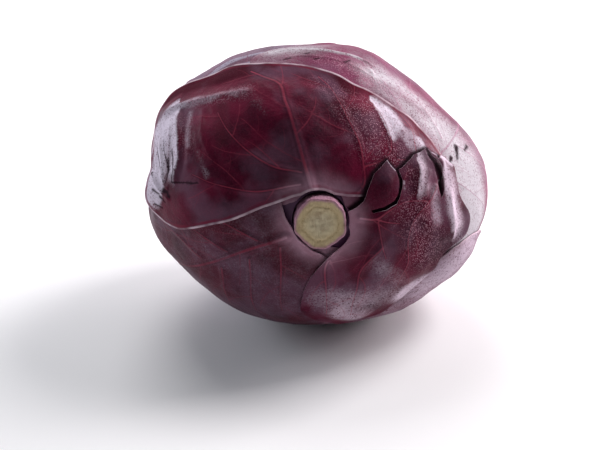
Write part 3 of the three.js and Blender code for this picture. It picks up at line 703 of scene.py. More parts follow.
# The leaves from the inside out. A rim is (degrees from the tip, radius) pairs. Bloom and dew are
# a base amount and patches: (line, radius, amount), with 1 or -1 where only that hand of the line
# is painted. The bloom amount holds the waxy bloom and also painted highlights and reflections, and
# below zero it paints shade. The dew beads carry painted glints. A margin is how pale and how red it
# is, the pale line partly a painted highlight. A dark groove is (line, half its width) and is painted
# near black, and a bump is (x, y, radius, height).
LEAVES = [{
    "name": "leaf_crown", "bearing": -165, "reach": 172, "seed": 11,
    "rim": [(-180, 112), (-150, 100), (-120, 90), (-90, 88), (-60, 94), (-30, 104), (0, 112), (30, 108),
            (60, 98), (90, 92), (120, 92), (150, 102)],
    "wave": 2.4, "wave_start": 0.4, "curl": 0.6, "ribs": feather_ribs(-100, 78, 64, 4, 0.6),
    "dome": 0.25, "dew_and_glints": (0.15, []), "bloom_and_painted_light": (0.05, []),
}, {
    "name": "leaf_back_left", "bearing": -45, "reach": 135, "seed": 12,
    "rim": [(-180, 121), (-150, 92), (-120, 84), (-90, 86), (-50, 92), (-20, 106), (0, 114), (20, 112),
            (50, 98), (80, 92), (110, 84), (140, 82), (160, 98)],
    "wave": 2.2, "wave_start": 1.9, "curl": 0.8, "ribs": feather_ribs(-108, 92, 70, 4, 0.6),
    "dome": 0.25, "dew_and_glints": (0.15, []),
    # The broad patch is bloom; the thin bright lines along the two wrinkles are painted highlights.
    "bloom_and_painted_light": (0.08, [([(0, -26), (50, -20)], 44, 0.52),
                     ([(5, -24), (25, -20), (48, -20)], 15, 0.10),
                     ([(7, -22), (18, -16), (29, -13.5), (41, -13)], 3.5, 1.05),
                     ([(8, -30), (20, -27), (32, -25), (44, -24)], 3.5, 0.95)]),
    "wrinkles": [fold([(0, -26), (7, -22), (18, -15), (29, -13), (41, -14), (50, -16)], 1.2, 4, 0.9),
                 fold([(6, -30), (11, -25), (21, -22), (34, -23), (42, -24)], 1.2, 4, 0.8)],
}, {
    "name": "leaf_back_right", "bearing": 62, "reach": 100, "seed": 13,
    "rim": [(-180, 86), (-160, 84), (-140, 88), (-120, 100), (-108, 109), (-100, 110.5), (-92, 105.5),
            (-82, 91), (-66, 83), (-43, 94), (-20, 111), (0, 114), (20, 112), (42, 110), (64, 102),
            (80, 94), (95, 84), (112, 78), (130, 74), (155, 82)],
    "wave": 1.0, "wave_start": 3.1, "curl": 0.8, "ribs": feather_ribs(-80, 56, 60, 3, 0.45),
    "dome": 0.15,
    "dark_grooves": [([(4.8, -6.7), (9.4, -12.3)], 1.7), ([(6.9, -16.6), (8, -19.5)], 1.3),
              ([(8.9, 4.1), (9.1, -1.4)], 1.2), ([(-91, -19), (-88.6, -16)], 0.6),
              ([(-93.3, -27.4), (-91.8, -24.4)], 0.6), ([(-83.6, -8.4), (-82, -6)], 0.6),
              ([(-65.3, -7.2), (-64, -3.2)], 0.6), ([(-78, -13), (-76, -11)], 0.5)],
    # Partly real bloom and partly painted light: the near-white right side is bloom with a painted
    # highlight, the thin bright lines along the folds are painted highlights, and the base below zero
    # darkens the bare skin as painted shade.
    "bloom_and_painted_light": (-0.68, [
        ([(-96, -6), (-40, -4), (10, -8), (50, -16)], 46, 0.85),
        ([(-92, -28), (-66, 4)], 22, 0.14),
        ([(-108, -14), (-98, -24)], 14, 0.3),
        ([(-74, -19), (-55, -18)], 15, 0.0),
        ([(-50, -16), (-44, -14)], 9, 0.38),
        ([(-40, -8), (-22, -6)], 12, 0.42),
        ([(-96, -5), (-88, -1), (-79, 0.5), (-70, 1.6), (-61, 4.3)], 2.5, 0.8),
        ([(-53.2, -0.4), (-49.5, -6.5)], 2.2, 1.0),
        ([(20, -14), (46, -13)], 22, 1.2)]),
    "wrinkles": [
        fold([(-102, -9), (-96, -5), (-88, -1), (-79, 0.5), (-70, 1.6), (-61, 4.3), (-50, 6)],
             3, 1.2, 0.9),
        fold([(-98, -22), (-94, -19), (-85, -12), (-74, -9), (-63, -7), (-53, -7), (-44, -5)],
             3, 1.4, 0.5),
        fold([(-54, 1), (-49, -8)], 1.5, 3, 0.7),
        fold([(-38, 2), (-28, 6), (-20, 4)], 3, 2, 0.5),
    ],
    "dew_and_glints": (0.1, [([(-72, -10), (-44, -10)], 12, 0.8)]),
}, {
    "name": "leaf_underside", "bearing": 178, "reach": 105, "seed": 14,
    "rim": [(-180, 91), (-160, 80), (-145, 70), (-130, 74), (-118, 89), (-108, 97), (-97, 99), (-84, 98),
            (-64, 98), (-30, 94), (0, 88), (30, 88), (60, 90), (90, 88), (120, 82), (150, 86)],
    "wave": 1.6, "wave_start": 5.0, "curl": 0.2, "ribs": feather_ribs(-82, 58, 60, 3),
    "dew_and_glints": (0.0, []),
    # The pale patch on the lower right is bloom brightened with painted light thrown up from the table.
    "bloom_and_painted_light": (0.35, [([(-94, -30), (-83, -27), (-67, -24), (-57, -20)], 22, 0.85)]),
}, {
    "name": "leaf_left", "bearing": -122, "reach": 64, "seed": 15,
    "rim": [(-180, 51), (-152, 60), (-120, 65), (-90, 66), (-60, 63), (-30, 60), (0, 60), (25, 62),
            (60, 62), (90, 64), (120, 64), (152, 61)],
    "wave": 2.0, "wave_start": 2.2, "curl": 1.0, "ribs": feather_ribs(-46, 44, 40, 3),
    "dew_and_glints": (0.1, []), "bloom_and_painted_light": (0.10, []),
}, {
    "name": "leaf_front_top", "bearing": -14, "reach": 58, "seed": 16,
    "rim": [(-180, 44), (-155, 50), (-130, 70), (-112, 91), (-98, 97.5), (-87, 89.5), (-76, 82),
            (-58, 84), (-45, 78), (-33, 63), (-24, 55.5), (-15, 47), (-5, 41.8), (8, 38.8), (22, 37.8),
            (37, 38.2), (54, 40.5), (67, 44), (77, 48), (85, 53), (92, 60.8), (98, 67), (105, 77.5),
            (112, 85), (122, 81), (140, 65), (158, 53)],
    "wave": 0.8, "wave_start": 0.9, "curl": 0.8,
    "edge": 0.8, "flutter": 0.15, "dome": 0.35,
    # Painted light: the bright patch right of the second vein, the pale facets and crest on the left and
    # the pale streak along the top fold are painted highlights over some real bloom; the negative band
    # under the rim is painted shade.
    "bloom_and_painted_light": (-0.32, [
        ([(47, 6), (52, -12)], 8, 0.35),
        ([(45, -16), (43.5, -4), (42, 7)], 6.5, 1.15, 1),
        ([(48, 0), (50, -5), (51, -12)], 6, 1.15),
        ([(57, -14), (60, -28)], 7.5, 0.50),
        ([(52, -14), (55, -22), (60, -24)], 5, 0.42),
        ([(62, -17), (64, -25)], 4, 0.95),
        ([(70, -19), (76, -29)], 6, 0.28),
        ([(-51, 34), (-53, 20), (-53.4, 8), (-55.7, -3), (-59, -8)], 20, 0.85, 1),
        ([(-72, 30), (-75, 14), (-80, 2), (-90, -10)], 15, 0.9),
        ([(-62, 28), (-66, 14), (-70, 4), (-76, -6), (-84, -14)], 9, 1.0),
        ([(-82, 31), (-70, 33), (-60, 32.4), (-51, 32.7), (-40.5, 30.5)], 5, 0.75),
        ([(-44, 30), (-28, 25), (-14, 20)], 8, 0.38),
        ([(-45.5, 23), (-49, 1)], 5, 0.36),
        ([(-45, -6), (-45, -20)], 5, 0.22),
        ([(-60, 50), (-48, 49), (-35, 46), (-24, 41), (-13, 37), (-3, 33), (8, 29), (17, 25), (25, 20),
          (33, 14)], 12, -1.2),
        ([(-12, 15), (-8, 4)], 9, 0.10),
        ([(-27, 17), (-31, -4)], 9, -0.8),
        ([(-88, 6), (-84, -4), (-80, -12)], 7, 0.9)]),
    "dew_and_glints": (0.03, [([(26, 10), (29, -10), (29, -24)], 9, 0.30), ([(36, -2), (42, -26)], 17, 0.8),
                   ([(-44, 30), (-14, 20)], 7, 0.7), ([(-50, 20), (-50, 0)], 8, 0.4),
                   ([(20, 18), (34, 6)], 9, 0.45)]),
    "margin": (0.9, 0.9),
    "dark_grooves": [([(-64, 16), (-65.5, 9), (-65.7, 0.3), (-65.2, -7)], 0.35),
              ([(-71.7, 17), (-71.9, 7.3), (-72.9, -1), (-73, -9.4)], 0.3),
              ([(-59.2, 4.3), (-59.9, -2), (-61.4, -9.2), (-66, -13.9)], 0.35),
              ([(-81.6, 3.5), (-79.7, -6.7)], 0.5),
              ([(-80.2, -14.9), (-78.2, -19.9)], 0.9),
              ([(-88.5, -15.3), (-83.2, -21)], 0.7),
              ([(-82.2, 18), (-85.2, 14.7), (-90.8, 10.9)], 1.2),
              ([(-64, 1), (-64.7, -6.1), (-69, -9.5), (-71.4, -10.3)], 1.0),
              ([(-75.4, -13.5), (-72.8, -16.5), (-71.8, -20)], 1.3),
              ([(-84, -8), (-80, -13.5)], 0.9),
              ([(-66, -13.9), (-61.7, -16.1), (-57.6, -18.1), (-54.2, -20.1), (-51, -21.5)], 0.4)],
    "ribs": [
        rib([(1, -41), (2, -20), (2.3, -1), (1.8, 8), (1.7, 19), (-4.4, 27), (-9, 35)], 4.6, 1.6),
        rib([(17, -50), (26, -43), (28.5, -32), (29.5, -20), (28, -8), (27, 2), (25, 13), (20.7, 24)],
            2.8, 1.2),
        rib([(29, -33), (38, -30), (44, -24), (45, -14), (43, 0), (38, 12)], 2.6, 1.0),
        rib([(46, -30), (56, -28), (58, -18), (58, -9), (54, 0)], 2.6, 0.9),
        rib([(-1, -32), (-12, -26), (-21, -14), (-27, 0), (-30, 14)], 2.6, 0.9),
        rib([(-3, -38), (-24, -36), (-42, -26), (-52, -16)], 2.6, 0.9),
    ],
    "folds": [
        fold([(-71, 38), (-60, 36), (-52, 34), (-46, 31.5), (-35, 28), (-25, 24.5), (-16, 21), (-8, 18)],
             8, 6, 1.8),
        fold([(-51, 34), (-53, 20), (-53.4, 8), (-55.7, -3), (-61, -10), (-66, -17)], 4, 13, 2.8),
        fold([(-45, 28), (-47, 11), (-49, 1), (-54, -12)], 5, 5, 0.7),
        fold([(-37, 26), (-38.5, 14), (-40.2, 1), (-39.4, -9.5), (-38.4, -18)], 3, 9, 0.9),
        fold([(-68.4, 22), (-68.7, 4), (-74, -8)], 3, 6, 0.7),
        fold([(-84, 8), (-80, -2), (-78, -12), (-72, -22)], 3, 4.5, 1.7),
    ],
    "wrinkles": [
        fold([(-57.9, 27), (-58.3, 17.7), (-60.1, 10.8), (-61.7, 4.6), (-64.5, -1), (-67.9, -9)],
             2.4, 3, 0.9),
        fold([(-63, 25), (-63.5, 16), (-65, 7), (-67, 0)], 2, 2.4, 0.6),
        fold([(-67, 28), (-67.5, 19), (-68, 10), (-71, 0), (-75, -10)], 2.2, 3, 0.8),
        fold([(-73, 27), (-74.5, 18), (-76, 8), (-79, -1)], 2.2, 2.6, 0.7),
        fold([(-79, 24), (-80.5, 15), (-83, 6)], 2.4, 2.4, 0.6),
        fold([(-71, -3), (-73, -9), (-71, -16)], 2, 2, 1.0),
        fold([(-63, -8), (-68, -12), (-75, -14)], 1.8, 2, 0.8),
        fold([(-42.5, 24), (-43.6, 12), (-44.4, 0), (-44, -9)], 2.6, 3, 0.25),
    ],
    "bumps": [(-92, -6, 20, 3.0)],
}, {
    "name": "leaf_front_right", "bearing": 112, "reach": 50, "seed": 17,
    "rim": [(-180, 36.5), (-170, 45), (-150, 47), (-135, 51), (-122, 53), (-108, 54), (-95, 56),
            (-86, 54.5), (-75, 52), (-65, 43), (-56, 38.5), (-46, 38), (-30, 39), (-18, 34), (-8, 26),
            (6, 22), (22, 24), (43, 32), (63, 45), (79, 59), (95, 67), (112, 68), (126, 61), (140, 52),
            (155, 43), (168, 37)],
    "wave": 0.7, "wave_start": 4.2, "curl": 0.4,
    "edge": 0.45, "flutter": 0.25, "dome": 0.35,
    # Painted light: the pale side of each crease, the white lip on the torn flap and the pale lower right
    # are painted highlights and reflected light over a little real bloom.
    "bloom_and_painted_light": (-0.32, [
        ([(45, -25), (30, 20)], 24, 0.40),
        ([(14, -16), (24, 4), (30, 14)], 15, 0.20),
        ([(54, 2), (52, -12)], 12, 0.60),
        ([(-2, 34), (8, 33), (16, 30), (25, 26), (34, 18)], 12, 1.15),
        ([(-37, 9), (-28.8, 12.1), (-21, 15.4), (-13, 19.2)], 16, 0.95, -1),
        ([(-32, 0), (-16, 7)], 8, 0.42),
        ([(-47, -10.6), (-41, -9.6), (-35.3, -9.7), (-30.1, -9.7)], 10, 0.72, -1),
        ([(-50, 5), (-41, 8.5), (-33, 9.5)], 3, 0.7),
        ([(-43, 8), (-32, 9.6), (-22, 14), (-14, 19)], 5.5, 0.85),
        ([(-53.9, -2.4), (-51, 2.6)], 2, 1.1),
        ([(-50.6, 5), (-49.5, 9), (-47.5, 13)], 3, 1.0),
        ([(-42.4, -26.3), (-40.6, -25), (-38, -22.2)], 1.1, 1.2),
        ([(-33, -17.3), (-29, -16.6)], 1.5, 0.6)]),
    "dew_and_glints": (0.05, [([(-18, -8), (2, 9)], 17, 1.0), ([(-40, -14), (-30, -12)], 6, 0.6)]),
    "margin": (0.0, 0.0),
    "tear": {
        "between": (-166, -72),
        "points": [(-9.5, -40), (-13.5, -37.2), (-17.3, -35), (-22.7, -34.4), (-28.9, -33.7),
                   (-33.6, -32.6), (-37.8, -29.9), (-42.8, -26.8), (-40.6, -25), (-37.8, -22),
                   (-33.3, -19.8), (-29.3, -19.2), (-25.4, -19.1), (-21.4, -20.3), (-17.2, -24.2),
                   (-13.6, -30), (-12.6, -28.6), (-16.4, -22.8), (-20.7, -18.7), (-25.6, -17.9),
                   (-29.6, -17.6), (-33.2, -18), (-38.6, -20.8), (-41, -18.4), (-45, -15.5),
                   (-48.8, -12.6), (-50.8, -8.9), (-53.6, -4.6), (-50.2, -3.7), (-46.8, -1.3),
                   (-42.6, 0.6), (-37.6, 2.3), (-32.4, 3.9), (-27.8, 6), (-33, 6.9), (-38.3, 6.6),
                   (-43, 5), (-47.2, 2.5), (-50.6, -0.9), (-53.9, -3), (-51.3, 2.4), (-49, 2.4),
                   (-51.2, 4.8), (-50.3, 9)],
    },
    "ribs": [
        rib([(-8, -34), (-9.6, -26.5), (-15.4, -22), (-22, -15.5), (-24.5, -8), (-25.5, -2)], 3.4, 1.4),
        rib([(-9.6, -26.5), (-9.6, -20.3), (-10.5, -14)], 2.6, 1.0),
        rib([(-33, 1), (-25.7, -1.5), (-18.4, -6), (-11, -7.6), (-1.7, -5.7), (9.7, 0), (19.5, 2),
             (29, 6)], 2.6, 1.1),
        rib([(-8.3, -25), (-2.3, -21.8), (4.4, -18), (10.5, -13.2)], 2.4, 1.0),
        rib([(5, -18.5), (14.4, -21.6), (22.1, -21.8), (32.1, -17.3), (42.3, -12.4), (52, -6)], 2.6, 1.1),
        rib([(12, -38), (24.2, -37.5), (38.2, -29.4), (55.8, -17.2)], 2.6, 1.0),
    ],
    "folds": [
        fold([(-37, 9), (-28.8, 12.1), (-21, 15.4), (-13, 19.2), (-5, 22)], 5, 12, 1.7),
        fold([(-47, -10.6), (-41, -9.6), (-35.3, -9.7), (-30.1, -9.7), (-26, -9.5)], 9, 4, 1.2),
    ],
    "wrinkles": [
        fold([(-44, -2), (-38, -4), (-31, -5), (-25, -3)], 2.4, 3, 0.6),
        fold([(-36, -26), (-29, -24), (-22, -26)], 4, 4, 0.5),
    ],
    "bumps": [(-47, 4, 7, 1.8), (-33, -28, 12, 1.3)],
}]
LEAVES = [PLAIN_LEAF | leaf | {"map": LeafMap(leaf["bearing"], leaf["reach"])} for leaf in LEAVES]


# How the leaves lie on each other, and the fine mesh of each blade.
def stack_under(order, direction):
    """The height of the layers that lie under a leaf."""
    return LEAF_GAP + sum(LAYER * spread(leaf, direction, STEP_RUN) for leaf in LEAVES[:order])


def bareness(order, direction):
    """1 where a leaf lies bare and 0 under the leaves that cover it."""
    least = np.ones(direction.shape[:-1])
    for leaf in LEAVES[order + 1:]:
        least = np.minimum(least, 1 - spread(leaf, direction, COVER_RUN))
    return least


def tear_gap(order, direction):
    """How far each place is from the torn edge of a leaf that lies over this one."""
    gap = np.full(len(direction), np.inf)
    for leaf in LEAVES[order + 1:]:
        if "tear" in leaf:
            torn = np.array(leaf["tear"]["points"], float)
            gap = np.minimum(gap, line_gap(leaf["map"].place(direction), torn)[0])
    return gap


def nearest(places, points):
    """How far each point is from the nearest of some places."""
    tree = KDTree(len(places))
    for i, place in enumerate(places):
        tree.insert((*place, 0), i)
    tree.balance()
    return np.array([tree.find((*point, 0))[2] for point in points])


def crease_edges(leaf, order, outline, lines):
    """Points and edges along lines, where they are bare and clear of the margin."""
    steps = [even_steps(line, FINE_STEP) for line in lines]
    places = np.vstack(steps)
    bare = bareness(order, leaf["map"].direction(places)) > 0
    clear = bare & inside(places, outline) & (nearest(outline, places) > 0.9 * FINE_STEP)
    points, edges, taken = [], [], {}
    for line, is_clear in zip(steps, np.split(clear, np.cumsum([len(step) for step in steps])[:-1])):
        last = None
        for point, good in zip(line, is_clear):
            cell = tuple(np.round(point / (APART * FINE_STEP)).astype(int)) if good else None
            if good and cell not in taken:
                taken[cell] = len(points)
                points.append(point)
            here = taken.get(cell)
            if None not in (last, here) and last != here:
                edges.append((last, here))
            last = here
    return np.array(points), edges


def leaf_triangles(leaf, order, outline, lines):
    """A leaf's flat drawing as triangles: fine where it is bare, with edges along its veins and creases."""
    low, high = outline.min(axis=0), outline.max(axis=0)
    row = FINE_STEP * math.sqrt(3) / 2
    columns = np.arange(math.ceil((high[0] - low[0]) / FINE_STEP) + 1)
    rows = np.arange(math.ceil((high[1] - low[1]) / row) + 1)
    i, j = (grid.ravel() for grid in np.meshgrid(columns, rows))
    draw = np.random.default_rng(leaf["seed"])
    grid = np.stack([low[0] + (i + 0.5 * (j % 2)) * FINE_STEP, low[1] + j * row], axis=1)
    grid += draw.uniform(-JITTER, JITTER, grid.shape) * FINE_STEP
    angle = np.degrees(np.arctan2(grid[:, 0], grid[:, 1]))
    possible = np.linalg.norm(grid, axis=1) < rim_radius(leaf["rim"], angle) + 6
    direction = leaf["map"].direction(grid)
    covered = (bareness(order, direction) <= 0) & (tear_gap(order, direction) > 2 * CLEFT_RUN)
    coarse = (i % COVERED_EVERY == 0) & (j % COVERED_EVERY == 0)
    grid = grid[possible & (~covered | coarse)]
    grid = grid[inside(grid, outline)]
    creases, edges = crease_edges(leaf, order, outline, lines)
    fixed = np.vstack([outline, creases])
    grid = grid[nearest(fixed, grid) > APART * FINE_STEP]
    flat = [Vector(p) for p in np.vstack([fixed, grid])]
    edges = [(a + len(outline), b + len(outline)) for a, b in edges]
    points, _, faces, *_ = delaunay_2d_cdt(flat, edges, [list(range(len(outline)))], 1, 1e-5)
    return np.array([tuple(p) for p in points]), faces


def boundary(faces):
    """The directed edges that only one face has."""
    edges = {}
    for face in faces:
        for a, b in zip(face, (*face[1:], face[0])):
            if (b, a) in edges:
                del edges[(b, a)]
            else:
                edges[(a, b)] = True
    return list(edges)


def leaf_veins(leaf):
    """The ribs of a leaf, and the finer veins that branch from them."""
    draw = np.random.default_rng(leaf["seed"] + 100)
    ribs = [vein(smooth_line(r["points"], RIDGE_STEP), r["width"] / 2 + RIB_FOOT, r["height"],
                 RIB_LINE * r["width"]) for r in leaf["ribs"]]
    parents = [r["points"] for r in ribs]
    taken = set()
    for line in parents:
        taken.update(tuple(c) for c in np.floor(even_steps(line, VEIN_CELL) / VEIN_CELL).astype(int))
    orders = [ribs]
    for kind in VEIN_ORDERS:
        grown = grow_veins(leaf, parents, kind["spacing"], kind["length"], kind["turn"], taken, draw)
        orders.append([vein(line, kind["half"], kind["height"], kind["line"]) for line in grown])
        parents = grown
    return orders


def painted(flat, base, patches):
    """A base amount, changed near each patch in turn."""
    amount = np.full(len(flat), float(base))
    for line, radius, wanted, *only in patches:
        gap, _, hand = line_gap(flat, np.array(line, float))
        near = 1 - ease(gap / radius)
        if only:
            near = near * np.where(hand * only[0] < 0, 1 - ease(gap / SHARP_SIDE), 1)
        amount += (wanted - amount) * near
    return amount


def held_in(points):
    """Points pressed softly back inside the box of the solid parts, and on or above the table."""
    low, high = (np.array(corner) / MM for corner in cad_box)
    low[2] = -np.inf
    over = np.maximum(0, points - (high - BOX_EASE))
    under = np.maximum(0, low + BOX_EASE - points)
    points = np.where(over > 0, high - BOX_EASE * np.exp(-over / BOX_EASE), points)
    points = np.where(under > 0, low + BOX_EASE * np.exp(-under / BOX_EASE), points)
    points[:, 2] = np.maximum(points[:, 2], 0)
    return points


def leaf_mesh(leaf, order, material):
    """A leaf's blade, lifted off the heart from its flat drawing, with the marks that its skin reads."""
    outline = margin(leaf)
    ribs, branches, twigs = leaf_veins(leaf)
    folds, wrinkles = leaf["folds"], leaf["wrinkles"]
    dark_grooves = [vein(np.array(line, float), half, -GROOVE_DEPTH, half) for line, half in leaf["dark_grooves"]]
    drawn = folds + dark_grooves + wrinkles + ribs + branches + twigs
    flat, faces = leaf_triangles(leaf, order, outline, [v["points"] for v in drawn])
    direction = leaf["map"].direction(flat)
    bare = bareness(order, direction) * off_the_spot(direction)
    rim_gap = nearest(outline, flat)
    by_rim = rim_gap < 2 * CURL_RUN
    rim_gap[by_rim] = line_gap(flat[by_rim], np.vstack([outline, outline[:1]]))[0]
    curl = leaf["curl"] * np.maximum(0, 1 - rim_gap / CURL_RUN) ** 2
    bumps = sum((height * (1 - ease(np.linalg.norm(flat - (x, y), axis=1) / radius))
                 for x, y, radius, height in leaf["bumps"]), np.zeros(len(flat)))
    space = np.column_stack([flat, np.zeros(len(flat))])
    cell_gap, _ = vein_gaps(flat, ribs + branches)
    rib_line, branch_line, twig_line = (vein_gaps(flat, kind)[1] for kind in (ribs, branches, twigs))
    dome = ease(cell_gap / VEIN_FAR)
    crinkle = BROAD_CRINKLE * noise(space, BROAD_SIZE, leaf["seed"] + 2)
    crinkle += FINE_CRINKLE * dome * noise(space, FINE_SIZE, leaf["seed"] + 3)
    flutter = leaf["flutter"] * noise(space, FLUTTER_SIZE, leaf["seed"] + 4)
    flutter = flutter * (1 - ease(rim_gap / FLUTTER_RUN))
    settle = (SETTLE + LEAF_THICKNESS - leaf["edge"]) * (1 - ease(rim_gap / SETTLE_RUN))
    skin_lift = stack_under(order, direction) + LEAF_THICKNESS - settle + bare * np.maximum(
        -DEEPEST_HOLLOW, curl + bumps + relief(flat, folds) + relief(flat, wrinkles) + crinkle + flutter)
    thickness = leaf["edge"] + (LEAF_THICKNESS - leaf["edge"]) * ease(rim_gap / EDGE_TAPER)
    inner_lift = skin_lift - thickness
    roll = ROLL * np.maximum(0, 1 - rim_gap / ROLL_RUN) ** 2
    outer_lift = skin_lift - roll + bare * (relief(flat, ribs + branches + twigs) + leaf["dome"] * dome)
    inner, outer = lifted(direction, inner_lift), lifted(direction, outer_lift)
    count = len(flat)
    edge = boundary(faces)
    all_faces = [tuple(f) for f in faces] + [tuple(count + i for i in f[::-1]) for f in faces]
    all_faces += [(b, a, count + a, count + b) for a, b in edge]
    points = held_in(np.vstack([outer, inner]))
    base = np.hypot(HALF_LENGTH * (direction @ ACROSS), HALF_HEIGHT * (direction @ UPWARD))
    base = np.where(direction @ AWAY < 0, base, np.inf)
    marks = {
        "rib_line": rib_line,
        "branch_line": branch_line,
        "twig_line": twig_line,
        # Grooves painted near black, and painted shade in a band along the torn edge of a leaf lying over
        # this one.
        "groove_and_cleft_shade": np.maximum(1 - ease((vein_gaps(flat, dark_grooves)[1] - CLEFT_HALF) / GROOVE_SOFT),
                           1 - ease((tear_gap(order, direction) - CLEFT_HALF) / CLEFT_RUN)),
        "near_vein": 1 - dome,
        "margin": np.minimum(1, rim_gap / MARGIN_FAR),
        "bloom_and_painted_light": painted(flat, *leaf["bloom_and_painted_light"]),
        "dew_and_glints": painted(flat, *leaf["dew_and_glints"]),
        "base": 1 - ease((base - STEM_RADIUS) / BASE_PALE_RUN),
    }
    marks = {mark: np.tile(values, 2) for mark, values in marks.items()}
    marks["outside"] = np.repeat([1.0, 0.0], count)
    piece = new_piece(leaf["name"] + "_blade", points, all_faces, marks, material)
    on_edge = np.arange(len(all_faces)) >= 2 * len(faces)
    piece.data.attributes.new("cut", "FLOAT", "FACE").data.foreach_set("value", on_edge.astype(np.float32))
    sharp = piece.data.attributes.new("sharp_edge", "BOOLEAN", "EDGE")
    at_rim = {frozenset(e) for e in edge} | {frozenset((count + a, count + b)) for a, b in edge}
    sharp.data.foreach_set("value", [frozenset(e.vertices) in at_rim for e in piece.data.edges])
    return piece


def leaf_material(name, dark, warm, vein_colour, bloom_and_painted_light, pale_margin, red_margin, seed):
    """A waxy leaf: dark skin, thin red veins, a pale bloom that breaks into specks, and beads of dew, with
    painted highlights, glints and shade in its colour.
    """
    material, shader, place = new_material(name)
    broad = place.noise(0.030, 3, seed=seed).between(0.35, 0.65)
    fine = place.noise(0.005, 4, 0.6, seed + 4)
    near_vein = place.attribute("near_vein")
    mottle = place.noise(0.0015, 3, 0.65, seed + 3)
    warmth = 0.7 * broad + 0.2 * fine + 0.3 * near_vein + 0.8 * (mottle - 0.5)
    # Where the bloom amount falls below zero the skin is darkened towards near-black wine: painted shade,
    # as in the band under the front top leaf's rim.
    painted_shade = (0 - place.attribute("bloom_and_painted_light")).between(0.45, 1.1)
    skin_colour = (0.8 * painted_shade).mix(warmth.mix(dark, warm), (0.046, 0.003, 0.010))
    haze = 0.45 * place.noise(0.024, 3, 0.5, seed + 17).between(0.44, 0.64)
    skin_colour = haze.mix(skin_colour, (0.16, 0.085, 0.135))
    rib_line = place.attribute("rib_line")
    # Painted shade: a dark band along each side of a rib.
    shoulder_shade = rib_line.between(1.4, 2.2) * (1 - rib_line.between(2.4, 5.0))
    skin_colour = (0.45 * shoulder_shade).mix(skin_colour, dark)
    branch_line = 1 - place.attribute("branch_line").between(0.3, 1.8)
    twig_line = 1 - place.attribute("twig_line").between(0.3, 1.8)
    veined = (1 - rib_line.between(0.5, 1.7)).most(0.55 * branch_line).most(0.25 * twig_line)
    worn = 0.45 + 0.40 * place.noise(0.012, 2, 0.5, seed + 18).between(0.40, 0.60)
    coloured = (worn * veined).mix(skin_colour, vein_colour)
    cloud = place.noise(0.016, 4, 0.6, seed + 9) - 0.5
    streak = place.noise(0.0045, 4, 0.65, seed + 11) - 0.5
    grain = place.noise(0.0008, 2, 0.6, seed + 7)
    beads, sparks = (place.node("ShaderNodeTexVoronoi", {}, {"Vector": place, "Scale": scale}, "Distance")
                     for scale in (800.0, 1400.0))
    bare_dot = (1 - beads.between(0.20, 0.46)) * place.noise(0.0035, 3, 0.6, seed + 5).between(0.36, 0.56)
    # The bloom amount is the waxy bloom and painted highlights and reflections together, laid in the same
    # pale colour.
    powder_and_highlight = place.attribute("bloom_and_painted_light") + 0.45 * cloud + 0.35 * streak + 0.5 * (grain - 0.5)
    powder_and_highlight = powder_and_highlight.between(0.0, 1.0)
    scratch = place.stretched((0.22, 1.0, 1.0)).noise(0.0016, 3, 0.6, seed + 13).between(0.56, 0.66)
    scratched = scratch * place.noise(0.012, 2, 0.5, seed + 14).between(0.48, 0.60) * 0.7
    rubbed = (1 - 0.5 * powder_and_highlight**4.0) * bare_dot.most(scratched)
    bloom_and_highlight_mask = powder_and_highlight * (1 - rubbed) * (1 - 0.5 * veined)
    powdered_and_highlit = (bloom_and_highlight_mask * 0.96).mix(coloured, bloom_and_painted_light)
    scattered = place.noise(0.004, 3, 0.6, seed + 6).between(0.34, 0.52)
    bead = (1 - beads.between(0.12, 0.30)) * scattered
    glitter = place.noise(0.0006, 2, 0.7, seed + 12).between(0.44, 0.56)
    showered = place.noise(0.0030, 2, 0.6, seed + 8).between(0.34, 0.48)
    spark = (1 - sparks.between(0.30, 0.56)) * glitter * showered
    dew_and_glints = bead.most(spark) * place.attribute("dew_and_glints")
    # Painted glints: the dew beads and sparks are coloured pale pink. The beads also bump the skin and make
    # it smoother.
    glinted = (dew_and_glints * 0.56).mix(powdered_and_highlit, (0.80, 0.40, 0.52))
    base_mark = place.attribute("base") * (0.6 + 0.4 * veined)
    based = (base_mark + 0.5 * (streak + cloud) * base_mark).between(0, 1).mix(glinted, (0.50, 0.29, 0.38))
    cut_edge = place.attribute("cut")
    patchy = 0.20 + 0.80 * place.noise(0.018, 3, 0.6, seed + 15).between(0.36, 0.60)
    inward = place.attribute("margin") * MARGIN_FAR
    red_line = inward.between(1.0, 1.6) * (1 - inward.between(2.2, 3.4))
    lined = (red_line * red_margin * (1.15 - patchy)).mix(based, (0.16, 0.008, 0.030))
    # The pale rim line is partly the paler tissue of the cut edge and partly a painted highlight along the
    # rim.
    pale_line = (0.85 * cut_edge).most((1 - inward.between(0.7, 1.5)) * pale_margin * patchy)
    edged = pale_line.mix(lined, (0.66, 0.50, 0.57))
    # Painted shade: the grooves and the clefts under a torn leaf go near black.
    edged = place.attribute("groove_and_cleft_shade").mix(edged, (0.020, 0.006, 0.012))
    shown = place.attribute("outside").most(cut_edge).mix((0.20, 0.07, 0.13), edged)
    matte = bloom_and_highlight_mask.most(place.attribute("groove_and_cleft_shade")).most(painted_shade)
    roughness = 0.40 + 0.10 * fine + 0.45 * matte - 0.24 * dew_and_glints
    height = 0.8 * mottle + 0.6 * place.noise(0.005, 2, 0.5, seed + 1) + 0.9 * dew_and_glints
    normal = place.node("ShaderNodeBump", {}, {
        "Height": height, "Strength": 0.6, "Distance": 0.0004}, "Normal")
    join(shader, Base_Color=shown, Roughness=roughness, Normal=normal)
    shader.inputs["Specular IOR Level"].default_value = 0.07
    shader.inputs["Specular Tint"].default_value = (1.0, 0.84, 0.92, 1)
    return material


